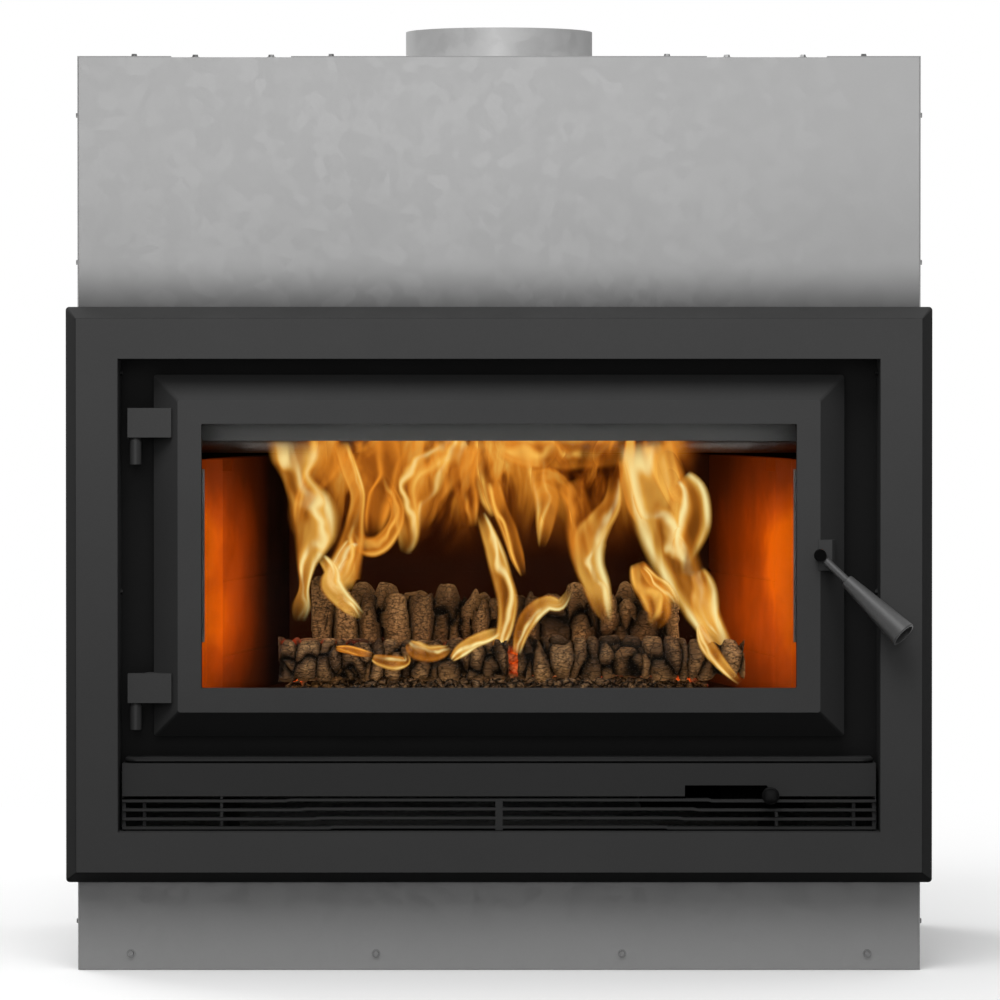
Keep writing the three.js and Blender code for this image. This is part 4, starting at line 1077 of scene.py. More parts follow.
class ScrewTree(GeometryTree):
    """Screw heads: a washer rim, a hexagon or a dome, set on points and turned to face outwards."""

    def __init__(self) -> None:
        """Builds the tree."""
        super().__init__("screw_heads")
        self.input("Radius", FLOAT, 0.004)
        self.input("Height", FLOAT, 0.003)
        self.input("Sides", "NodeSocketInt", 6)
        self.input("Seed", "NodeSocketInt", 7)
        given = self.begin()
        sheet = self.sheet
        radius, height = given["Radius"], given["Height"]
        rim_depth = sheet.times(height, 0.25)
        rim = sheet.add("GeometryNodeMeshCylinder", {"Vertices": 20, "Radius": radius, "Depth": rim_depth})
        rim_set = sheet.moved(rim, sheet.upright(sheet.times(height, 0.125)))
        body = sheet.add("GeometryNodeMeshCone", {
            "Vertices": given["Sides"],
            "Radius Top": sheet.times(radius, 0.62),
            "Radius Bottom": sheet.times(radius, 0.74),
            "Depth": sheet.times(height, 0.75),
        })
        body_set = sheet.moved(body, sheet.upright(rim_depth))
        joined = sheet.add("GeometryNodeJoinGeometry")
        for part in (rim_set, body_set):
            self.tree.links.new(part, joined.inputs[0])
        facing = sheet.add("GeometryNodeInputNamedAttribute", {"Name": "facing"}, data_type="FLOAT_VECTOR")
        turned = sheet.add("FunctionNodeAlignRotationToVector", {"Vector": facing.outputs[0]}, axis="Z")
        spins = {2: 0.0, 3: TURN, "Seed": given["Seed"]}
        spin = sheet.add("FunctionNodeRandomValue", spins, data_type="FLOAT")
        about = sheet.add("FunctionNodeAxisAngleToRotation", {"Angle": spin.outputs[1]})
        turns = {0: turned.outputs[0], 1: about.outputs[0]}
        both = sheet.add("FunctionNodeRotateRotation", turns, rotation_space="LOCAL")
        heads = sheet.add("GeometryNodeInstanceOnPoints", {
            "Points": given["Geometry"], "Instance": joined.outputs[0], "Rotation": both.outputs[0],
        })
        self.end(heads.outputs[0], smooth=False)


class CoalTree(GeometryTree):
    """Broken embers scattered over the bed."""

    def __init__(self) -> None:
        """Builds the tree."""
        super().__init__("scattered_coals")
        self.input("Density", FLOAT, 9000.0)
        self.input("Size", FLOAT, 0.006)
        self.input("Seed", "NodeSocketInt", 3)
        given = self.begin()
        sheet = self.sheet
        points = sheet.add("GeometryNodeDistributePointsOnFaces", {
            "Mesh": given["Geometry"],
            "Density": given["Density"],
            "Seed": given["Seed"],
        })
        lump = sheet.add("GeometryNodeMeshIcoSphere", {"Radius": given["Size"], "Subdivisions": 2})
        jag = sheet.add("ShaderNodeTexNoise", {"Scale": 190.0, "Detail": 2.0})
        push = sheet.add("ShaderNodeVectorMath", {0: jag.outputs[1], 1: (-0.5, -0.5, -0.5)}, operation="ADD")
        depth = sheet.times(given["Size"], 1.5)
        reach = sheet.add("ShaderNodeVectorMath", {0: push.outputs[0], 3: depth}, operation="SCALE")
        pushed = {"Geometry": lump.outputs[0], "Offset": reach.outputs[0]}
        rough = sheet.add("GeometryNodeSetPosition", pushed)
        turns = {0: (0.0, 0.0, 0.0), 1: (TURN, TURN, TURN), "Seed": given["Seed"]}
        turn = sheet.add("FunctionNodeRandomValue", turns, data_type="FLOAT_VECTOR")
        turned = sheet.add("FunctionNodeEulerToRotation", {0: turn.outputs[0]})
        sizes = {2: 0.45, 3: 1.25, "Seed": given["Seed"]}
        size = sheet.add("FunctionNodeRandomValue", sizes, data_type="FLOAT")
        coals = sheet.add("GeometryNodeInstanceOnPoints", {
            "Points": points.outputs[0],
            "Instance": rough.outputs[0],
            "Rotation": turned.outputs[0],
            "Scale": size.outputs[1],
        })
        both = sheet.add("GeometryNodeJoinGeometry")
        self.tree.links.new(given["Geometry"], both.inputs[0])
        self.tree.links.new(coals.outputs[0], both.inputs[0])
        self.end(both.outputs[0], smooth=False)


class RopeTree(GeometryTree):
    """Plaited rope: knuckles laid in pairs along a closed path."""

    def __init__(self) -> None:
        """Builds the tree."""
        super().__init__("plaited_rope")
        self.input("Radius", FLOAT, 0.005)
        self.input("Pitch", FLOAT, 0.0045)
        given = self.begin()
        sheet = self.sheet
        radius = given["Radius"]
        line = sheet.add("GeometryNodeMeshToCurve", {0: given["Geometry"]})
        pitched = {"Curve": line.outputs[0], "Length": given["Pitch"]}
        beads = sheet.add("GeometryNodeResampleCurve", pitched, mode="LENGTH")
        turns = sheet.add("GeometryNodeCurveToPoints", {"Curve": beads.outputs[0]}, mode="EVALUATED")
        strand = sheet.add("GeometryNodeMeshUVSphere", {"Segments": 8, "Rings": 6, "Radius": radius})
        parts = []
        for lean in (0.62, -0.62):
            shaped = sheet.add("GeometryNodeTransform", {
                "Geometry": strand.outputs[0],
                "Scale": (0.94, 0.9, 0.5),
                "Rotation": (lean, 0.0, 0.0),
            })
            laid = sheet.add("GeometryNodeInstanceOnPoints", {
                "Points": turns.outputs[0],
                "Instance": shaped.outputs[0],
                "Rotation": turns.outputs["Rotation"],
            })
            parts.append(laid.outputs[0])
        joined = sheet.add("GeometryNodeJoinGeometry")
        for part in parts:
            self.tree.links.new(part, joined.inputs[0])
        self.end(joined.outputs[0])


# ---------------------------------------------------------------- finishes used by the sub-assemblies


class Finishes:
    """Every material of the insert, built once."""

    def __init__(self) -> None:
        """Builds the groups and the materials."""
        effects = Effects()
        self.sheet_front = Galvanised(
            "galvanised_front", metallic=0.2, specular=0.35, bump=0.00003, colour=grey(190), shaded=True,
            contrast=0.1,
        ).build(effects)
        self.sheet_plain = Galvanised(
            "galvanised_sheet", metallic=0.25, specular=0.2, bump=0.00005, colour=grey(166), contrast=0.3,
        ).build(effects)
        self.zinc_pipe = Galvanised(
            "galvanised_collar", metallic=0.3, specular=0.4, bump=0.00005, colour=grey(192), contrast=0.15,
        ).build(effects)
        self.satin = Paint(
            "satin_charcoal", specular=0.1, bump=0.00003, colour=grey(69), roughness=0.45,
        ).build(effects)
        # The band's satin is a darker copy of the surround's, as painted shade in the louvre's recess.
        self.band = Paint(
            "satin_band", specular=0.1, bump=0.00003, colour=grey(55), roughness=0.5,
        ).build(effects)
        self.satin_dark = Paint(
            "satin_black", specular=0.1, bump=0.00003, colour=grey(19), roughness=0.5,
        ).build(effects)
        self.cast = Paint(
            "cast_charcoal", specular=0.12, bump=0.00006, colour=grey(68), roughness=0.48, grain=700.0,
            mottle=0.25, dust=0.08, turned=0.6,
        ).build(effects)
        self.grip = Paint(
            "handle_enamel", specular=0.5, bump=0.00008, colour=grey(76), roughness=0.45, grain=500.0,
            mottle=0.5, dust=0.08, turned=0.0,
        ).build(effects)
        self.matt = Paint(
            "matt_black_plate", specular=0.05, bump=0.00004, colour=grey(9), roughness=0.85, grain=600.0,
            mottle=0.3, dust=0.1, turned=0.5,
        ).build(effects)
        self.bar = Paint(
            "airwash_enamel", specular=0.2, bump=0.00003, colour=grey(88), roughness=0.55, turned=0.0,
        ).build(effects)
        self.steel = Paint(
            "mill_steel", metallic=0.8, specular=0.5, bump=0.00005, colour=grey(120), roughness=0.5,
            grain=500.0, mottle=0.5, turned=0.0,
        ).build(effects)
        self.zinc_screw = Paint(
            "zinc_screw", metallic=0.9, specular=0.5, bump=0.00003, colour=grey(135), roughness=0.35,
            grain=800.0, mottle=0.4, turned=0.0,
        ).build(effects)
        # The linings' very dark colours are partly soot and partly painted shade, as only the fire lights the
        # firebox.
        self.cheek = Board(
            "lining_front", specular=0.1, bump=0.0003, lit=1.22, near=-0.232, far=-0.075,
            colour=linear(24, 12, 6),
        ).build(effects)
        self.side = Board(
            "lining_side", specular=0.08, bump=0.0003, lit=0.95, near=-0.22, far=0.03,
            colour=linear(18, 10, 6),
        ).build(effects)
        self.side_hot = Board(
            "lining_side_lit", specular=0.08, bump=0.0003, lit=1.03, near=-0.2, far=0.2,
            colour=linear(18, 10, 6),
        ).build(effects)
        self.rear = Board(
            "lining_sooted_shaded", specular=0.1, bump=0.0003, lit=0.12, near=-0.6, far=0.6,
            colour=linear(14, 10, 8),
        ).build(effects)
        self.roof = Board(
            "baffle_sooted_shaded", specular=0.1, bump=0.0003, lit=0.1, near=-0.6, far=0.6,
            colour=linear(14, 10, 8),
        ).build(effects)
        self.log = Char("charred_log", specular=0.3, bump=0.0015, lit=0.8).build(effects)
        self.coal = Coal("glowing_coal", specular=0.3, bump=0.0008, lit=0.4, strength=1.3).build(effects)
        self.rope = Rope("rope_seal", specular=0.2, bump=0.0003).build(effects)
        self.glass = ClearGlass("ceramic_glass").build(effects)
        self.flame_veil = Flame("flame_veil", fold=Fold.VEIL, body=1.0).build(effects)
        self.flame_core = Flame("flame_core", fold=Fold.CORE, seed=2.3).build(effects)
        self.flame_wall = Flame("flame_wall", fold=Fold.WALL, strength=0.9, body=0.9, seed=9.1).build(effects)


def dress(nodes: Nodes, finish: Material, *names: str) -> None:
    """Gives solids a material without touching their meshes' shape.

    Args:
        nodes: The solids by name.
        finish: The material.
        *names: Which solids.
    """
    for name in names:
        wear_only(nodes[name], finish)
        LOG.info("%s wears %s", name, finish.name)


# ---------------------------------------------------------------- sub-assemblies


@dataclass
class Casing:
    """The galvanised casing: panels, flue collar and spigot, shields, rails and their screws.

    Attributes:
        half: Half the casing's width.
        front: Depth of its front face.
        back: Depth of its rear face.
        top: Height of its top face.
        sheet: Sheet thickness.
        top_across: X of the screws along the top's front and back.
        top_inset: How far those stand in.
        notch_across: X of the screws beside the top's notches.
        top_depths: Depths of the screws along the top's sides.
        hem: How far screws in a folded hem stand from its edge.
        foot_across: X of the screws in the front's foot.
        foot_height: Height of those, and how far the rear's rows stand from its edges.
        rear_across: X of the screws in the rear's rows.
        rear_side: X of the screws in its columns.
        rear_heights: Heights of those.
        rear_sunk: How deep the rear's heads stand in their dimples.
        front_edge: Heights of the screws along the sides' front edges.
        back_edge: Heights of those along their rear edges.
        collar_ring: Radius of the ring of rivets round the collar.
        collar_depth: Depth of the collar's middle.
        collar_rivets: How many there are.
    """

    half: float = 0.438
    front: float = -0.27
    back: float = 0.27
    top: float = 0.95
    sheet: float = 0.0012
    top_across: Sequence[float] = (0.38, 0.175)
    top_inset: float = 0.02
    notch_across: Sequence[float] = (0.316, 0.237)
    top_depths: Sequence[float] = (-0.09, 0.09)
    hem: float = 0.012
    foot_across: Sequence[float] = (0.128, 0.383)
    foot_height: float = 0.017
    rear_across: Sequence[float] = (0.1, 0.3, 0.42)
    rear_side: float = 0.424
    rear_heights: Sequence[float] = (0.25, 0.48, 0.72)
    rear_sunk: float = 0.0029
    front_edge: Sequence[float] = (0.05, 0.736, 0.889)
    back_edge: Sequence[float] = (0.05, 0.3, 0.6, 0.889)
    collar_ring: float = 0.109
    collar_depth: float = -0.05
    collar_rivets: int = 6

    def build(self, nodes: Nodes, wear: Finishes, screws: ScrewTree) -> None:
        """Dresses the panels, smooths the round pieces and sets the screws.

        Args:
            nodes: The solids by name.
            wear: The finishes.
            screws: The tree that makes screw heads.
        """
        dress(nodes, wear.sheet_front, "casing_front_upper", "casing_front_lower")
        sides = ("left", "right", "top", "back", "base")
        dress(nodes, wear.sheet_plain, *(f"casing_{side}" for side in sides))
        dress(nodes, wear.sheet_plain, *(f"heat_shield_{side}" for side in ("left", "right", "back", "top")))
        dress(nodes, wear.steel, "firebox_rail_left", "firebox_rail_right")
        rolled = Soften(angle=30.0)
        rolled.put(nodes, "flue_collar", "flue_collar_rolled", wear.zinc_pipe, Body.ROOT, Slot.SHEET)
        rolled.put(nodes, "flue_spigot", "flue_spigot_rolled", wear.steel, Body.ROOT, Slot.STEEL)
        self._hexagons(wear, screws)
        self._flats(wear, screws)

    def _hexagons(self, wear: Finishes, screws: ScrewTree) -> None:
        """Sets the hexagon heads on the top, the front's foot and the back."""
        places: Places = []
        rear = self.back - self.rear_sunk
        for x in self.top_across:
            for side in SIDES:
                places.append(((side * x, self.front + self.top_inset, self.top), UP))
                places.append(((side * x, self.back - self.top_inset, self.top), UP))
        for x in self.notch_across:
            places += [((side * x, self.front + self.hem, self.top - self.sheet), UP) for side in SIDES]
        for side in SIDES:
            places += [((side * (self.half - self.hem), y, self.top), UP) for y in self.top_depths]
        for x in self.foot_across:
            places += [((side * x, self.front, self.foot_height), FORWARD) for side in SIDES]
        rows = (self.foot_height, self.top - self.foot_height)
        for x in self.rear_across:
            for side in SIDES:
                places += [((side * x, rear, z), BACKWARD) for z in rows]
        for z in self.rear_heights:
            places += [((side * self.rear_side, rear, z), BACKWARD) for side in SIDES]
        heads = screws.grow(seeds("casing_screws", places), wear.zinc_screw, Radius=0.0046, Height=0.0032)
        settle(heads, Body.ROOT, Slot.SHEET)

    def _flats(self, wear: Finishes, screws: ScrewTree) -> None:
        """Sets the flat heads along the sides' edges and the rivets round the collar."""
        edge: Places = []
        for side in SIDES:
            for z in self.front_edge:
                edge.append(((side * self.half, self.front + self.hem, z), (side, 0.0, 0.0)))
            for z in self.back_edge:
                edge.append(((side * self.half, self.back - self.hem, z), (side, 0.0, 0.0)))
        points = seeds("casing_side_screws", edge)
        flats = screws.grow(points, wear.zinc_screw, Radius=0.004, Height=0.0022, Sides=12)
        settle(flats, Body.ROOT, Slot.SHEET)
        ring: Places = []
        for index in range(self.collar_rivets):
            turn = 2 * math.pi * (index + 0.5) / self.collar_rivets
            x, y = self.collar_ring * math.cos(turn), self.collar_ring * math.sin(turn)
            ring.append(((x, self.collar_depth + y, self.top + self.sheet), UP))
        points = seeds("collar_rivets", ring)
        rivets = screws.grow(points, wear.zinc_screw, Radius=0.0032, Height=0.0016, Sides=12)
        settle(rivets, Body.ROOT, Slot.SHEET)


@dataclass
class Surround:
    """The dark surround, the face plate behind it, the shelf and the louvre.

    Attributes:
        soft: Rounding of the surround's edges.
        fine: Rounding of the louvre's edges.
        mid: Height of the surround's middle.
        screw_across: X of the screws in its inner return.
        screw_depth: Their depth.
        screw_heights: Their heights.
    """

    soft: float = 0.0008
    fine: float = 0.0004
    mid: float = 0.3905
    screw_across: float = 0.394
    screw_depth: float = -0.26
    screw_heights: Sequence[float] = (0.621, 0.393)

    def build(self, nodes: Nodes, wear: Finishes, screws: ScrewTree) -> None:
        """Builds the softened copies and dresses the rest.

        Args:
            nodes: The solids by name.
            wear: The finishes.
            screws: The tree that makes screw heads.
        """
        soften = Soften(self.soft, angle=25.0, across=(0.0,), level=(self.mid,))
        soften.put(nodes, "surround_frame", "surround_painted", wear.satin, Body.ROOT, Slot.SATIN)
        Soften(angle=40.0).put(nodes, "hearth_shelf", "shelf_rounded", wear.band, Body.ROOT, Slot.SATIN)
        pressed = Soften(self.fine)
        pressed.put(nodes, "louvre_fascia", "fascia_pressed", wear.band, Body.ROOT, Slot.SATIN)
        pressed.put(nodes, "louvre_grille", "louvre_slats", wear.band, Body.ROOT, Slot.SATIN)
        dress(nodes, wear.satin_dark, "firebox_face")
        dress(nodes, wear.steel, "surround_bracket_left", "surround_bracket_right")
        dress(nodes, wear.matt, "primary_air_box")
        places = [
            ((side * self.screw_across, self.screw_depth, z), (-side, 0.0, 0.0))
            for side in SIDES
            for z in self.screw_heights
        ]
        heads = screws.grow(seeds("face_screws", places), wear.satin, Radius=0.0034, Height=0.0022, Sides=12)
        settle(heads, Body.ROOT, Slot.STEEL)


@dataclass
class AirControl:
    """The slide, its rod and the knob in the louvre.

    Attributes:
        angle: Angle, in degrees, up to which the knob and the rod are shaded round.
    """

    angle: float = 35.0

    def build(self, nodes: Nodes, wear: Finishes) -> None:
        """Builds the rounded knob and rod and dresses the slide.

        Args:
            nodes: The solids by name.
            wear: The finishes.
        """
        turned = Soften(angle=self.angle)
        turned.put(nodes, "air_knob", "air_knob_turned", wear.satin_dark, Body.AIR, Slot.SATIN)
        turned.put(nodes, "air_rod", "air_rod_drawn", wear.steel, Body.AIR, Slot.STEEL)
        dress(nodes, wear.matt, "air_slide")


@dataclass
class Door:
    """The door: bevelled frame, glass, rope seal, hinge leaves and pins, and the latch with its handle.

    Attributes:
        soft: Rounding of the frame's edges.
        fine: Rounding of the small pieces' edges.
        mid: Height of the door's middle.
        split_across: X of the planes that part the frame's flat faces: its middle and the spindle's hole.
        split_level: Height of the plane that does the same.
        seal_half_width: Half the width of the rope's middle line.
        seal_half_height: Half the height of the rope's middle line.
        seal_corner: Radius of its corners.
        seal_depth: Depth of the rope's middle.
        seal_radius: The rope's radius.
        clip_across: X of the screws in the glass's strips.
        clip_depth: Their depth.
        clip_pitch: How far apart they are.
    """

    soft: float = 0.0009
    fine: float = 0.0007
    mid: float = 0.431
    split_across: Sequence[float] = (0.0, 0.3327)
    split_level: float = 0.432
    seal_half_width: float = 0.3460
    seal_half_height: float = 0.1750
    seal_corner: float = 0.012
    seal_depth: float = -0.2513
    seal_radius: float = 0.0054
    clip_across: float = 0.3186
    clip_depth: float = -0.2682
    clip_pitch: float = 0.07

    def build(self, nodes: Nodes, wear: Finishes, rope: RopeTree, screws: ScrewTree) -> None:
        """Builds the door's looks.

        Args:
            nodes: The solids by name.
            wear: The finishes.
            rope: The tree that plaits rope.
            screws: The tree that makes screw heads.
        """
        bevelled = Soften(self.soft, angle=20.0, across=self.split_across, level=(self.split_level,))
        bevelled.put(nodes, "door_frame", "door_casting", wear.cast, Body.DOOR, Slot.CAST)
        fine = Soften(self.fine)
        for place in ("upper", "lower"):
            leaf, pin = f"hinge_leaf_{place}", f"hinge_pin_{place}"
            fine.put(nodes, leaf, f"{leaf}_soft", wear.cast, Body.DOOR, Slot.CAST)
            Soften().put(nodes, pin, f"{pin}_turned", wear.cast, Body.ROOT, Slot.CAST)
        dress(nodes, wear.glass, "door_glass")
        dress(nodes, wear.rope, "glass_gasket")
        dress(nodes, wear.steel, "glass_clip_left", "glass_clip_right")
        self._seal(wear, rope)
        places = [
            ((side * self.clip_across, self.clip_depth, self.mid + step * self.clip_pitch), BACKWARD)
            for side in SIDES
            for step in (-1, 0, 1)
        ]
        heads = screws.grow(seeds("clip_screws", places), wear.steel, Radius=0.0028, Height=0.0018, Sides=12)
        settle(heads, Body.DOOR, Slot.STEEL)
        fine.put(nodes, "latch_spindle", "latch_spindle_turned", wear.matt, Body.HANDLE, Slot.STEEL)
        for name in ("handle_rod", "handle_grip"):
            Soften(angle=32.0).put(nodes, name, f"{name}_turned", wear.grip, Body.HANDLE, Slot.CAST)

    def _seal(self, wear: Finishes, rope: RopeTree) -> None:
        """Plaits the rope seal along its rounded rectangle."""
        points: list[Point] = []
        wide, tall = self.seal_half_width - self.seal_corner, self.seal_half_height - self.seal_corner
        steps = 4
        for across, up, start in ((1, 1, 0), (-1, 1, 90), (-1, -1, 180), (1, -1, 270)):
            for step in range(steps + 1):
                turn = math.radians(start + 90 * step / steps)
                x = across * wide + self.seal_corner * math.cos(turn)
                z = self.mid + up * tall + self.seal_corner * math.sin(turn)
                points.append((x, self.seal_depth, z))
        mesh = bpy.data.meshes.new("door_rope")
        count = len(points)
        mesh.from_pydata(points, [(index, (index + 1) % count) for index in range(count)], [])
        plait = rope.grow(mesh_object("door_rope", mesh), wear.rope, Radius=self.seal_radius)
        settle(plait, Body.DOOR, Slot.ROPE, "door_seal")


@dataclass
class Firebox:
    """The welded box, its linings and the burn parts."""

    def build(self, nodes: Nodes, wear: Finishes) -> None:
        """Dresses the plates and boards.

        Args:
            nodes: The solids by name.
            wear: The finishes.
        """
        dress(nodes, wear.matt, *(f"firebox_{side}" for side in ("base", "top", "left", "right", "back")))
        dress(nodes, wear.matt, "log_retainer")
        dress(nodes, wear.bar, "airwash_bar")
        dress(nodes, wear.steel, "air_tube_1", "air_tube_2")
        dress(nodes, wear.roof, "baffle_board")
        dress(nodes, wear.cheek, "lining_cheek_left", "lining_cheek_right")
        dress(nodes, wear.side, "lining_side_left")
        dress(nodes, wear.side_hot, "lining_side_right")
        dress(nodes, wear.rear, "lining_back", "floor_bricks")


@dataclass(frozen=True)
class Camera:
    """The camera that took the photograph, as fitted to the object's edges.

    Attributes:
        place: Where it stands.
        tilt: How far it looks down, in degrees.
        focal: Focal length in pixels.
        width: Width and height of the picture in pixels.
        shift: Vertical shift of the picture, as a share of its width.
    """

    place: Point = (0.001, -6.5533, 0.62515)
    tilt: float = 0.76921
    focal: float = 6045.25
    width: float = 1000.0
    shift: float = -0.05

    def spot(self, column: float, row: float, depth: float) -> Point:
        """Finds what a pixel of the photograph shows on an upright plane across the view.

        Args:
            column: The pixel's column.
            row: Its row.
            depth: Y of the plane.

        Returns:
            The spot's x and z, and how many metres one pixel covers there.
        """
        tilt = math.radians(self.tilt)
        away = depth - self.place[1]
        slope = (self.width * (0.5 + self.shift) - row) / self.focal
        turned = slope * math.cos(tilt) - math.sin(tilt)
        rise = away * turned / (math.cos(tilt) + slope * math.sin(tilt))
        reach = (away * math.cos(tilt) - rise * math.sin(tilt)) / self.focal
        return self.place[0] + (column - self.width / 2) * reach, self.place[2] + rise, reach


@dataclass(frozen=True)
class Crop:
    """An enlarged crop of the photograph, in which places were read.

    Attributes:
        left: Column of the photograph at the crop's left edge.
        top: Row of the photograph at its upper edge.
        start: Row of the enlarged sheet at which the crop begins.
        scale: How much it is enlarged.
    """

    left: float
    top: float = 420.0
    start: float = 0.0
    scale: float = 1.857


LEFT_CROP = Crop(left=190.0)
RIGHT_CROP = Crop(left=500.0, start=528.0)


@dataclass(frozen=True)
class Tongue:
    """One tongue of flame, as it was read off the photograph.

    Attributes:
        crop: The crop in which it was read.
        depth: Its depth in the firebox.
        gain: How bright it is.
        readings: Places from one end to the other: column, row and half width in the crop's pixels.
        ceiling: Greatest height of a place, just over the top of the glass.
    """

    crop: Crop
    depth: float
    gain: float
    readings: Sequence[Point]
    ceiling: float = 0.565

    def line(self, camera: Camera) -> list[Point]:
        """Turns the readings into places in the firebox.

        Args:
            camera: The camera that took the photograph.

        Returns:
            X, z and half width of each place, to the whole millimetre, which is as exact as the readings are.
        """
        places = []
        for column, row, half in self.readings:
            photo_row = self.crop.top + (row - self.crop.start) / self.crop.scale
            x, z, pixel = camera.spot(self.crop.left + column / self.crop.scale, photo_row, self.depth)
            wide = pixel * half / self.crop.scale
            digits = 4 if wide < 0.01 else 3
            places.append((round(x, 3), round(min(z, self.ceiling), 3), round(wide, digits)))
        return places


@dataclass(frozen=True)
class Bark:
    """How one log has charred.

    Attributes:
        blocks: Blocks to a metre along the log, across its depth and upwards.
        crack: Depth of the cracks.
        gap: How wide they are, as a share of a block.
        hot_low: Height under which it glows.
        hot_high: Height over which it glows.
        stray: How far the blocks stray from their rows.
        dome: How much a block rises to its middle, as a share of a crack's depth.
        uneven: How much the blocks differ in height, as such a share.
        fibres: Fibres to a metre along each axis.
        fibre: Half the height of the fibres.
        fade_low: Height over which the lower glow fades.
        fade_high: Height over which the upper glow comes in.
    """

    blocks: Point
    crack: float
    gap: float
    hot_low: float = 0.0
    hot_high: float = 1.0
    stray: float = 0.45
    dome: float = 0.35
    uneven: float = 0.25
    fibres: Point = (60.0, 240.0, 240.0)
    fibre: float = 0.0006
    fade_low: float = 0.02
    fade_high: float = 0.006

    def mark(self, spot: Vector) -> tuple[Point, float]:
        """Chars one spot.

        Args:
            spot: The spot on the smooth log.

        Returns:
            Its distance from a crack, its block's tone and its heat, and then how far it sinks.
        """
        place = Vector(a * b for a, b in zip(spot, self.blocks))
        place += self.stray * noise.noise_vector(place * 0.9)
        near, cells = noise.voronoi(place)
        edge = min(near[1] - near[0], 1.0)
        tone = noise.cell(cells[0] * 7.3) % 1.0
        grain = noise.noise(Vector(a * b for a, b in zip(spot, self.fibres)))
        sunk = max(0.0, 1.0 - edge / self.gap) ** 1.4
        crown = self.dome * (1.0 - min(edge / 0.8, 1.0)) + self.uneven * tone
        low = max(0.0, min(1.0, (self.hot_low - spot.z) / self.fade_low))
        high = max(0.0, min(1.0, (spot.z - self.hot_high) / self.fade_high))
        return (edge, tone, low + high), self.crack * (sunk + crown) + self.fibre * (1.0 + grain)


BARKS = {
    "log_front_left": Bark((58.0, 24.0, 22.0), crack=0.0065, gap=0.24, hot_high=0.3405),
    "log_front_right": Bark((56.0, 22.0, 13.0), crack=0.0075, gap=0.3),
    "log_middle": Bark((60.0, 50.0, 50.0), crack=0.005, gap=0.3, hot_low=0.34),
    "log_rear": Bark((38.0, 13.0, 6.5), crack=0.02, gap=0.45, hot_low=0.32),
}


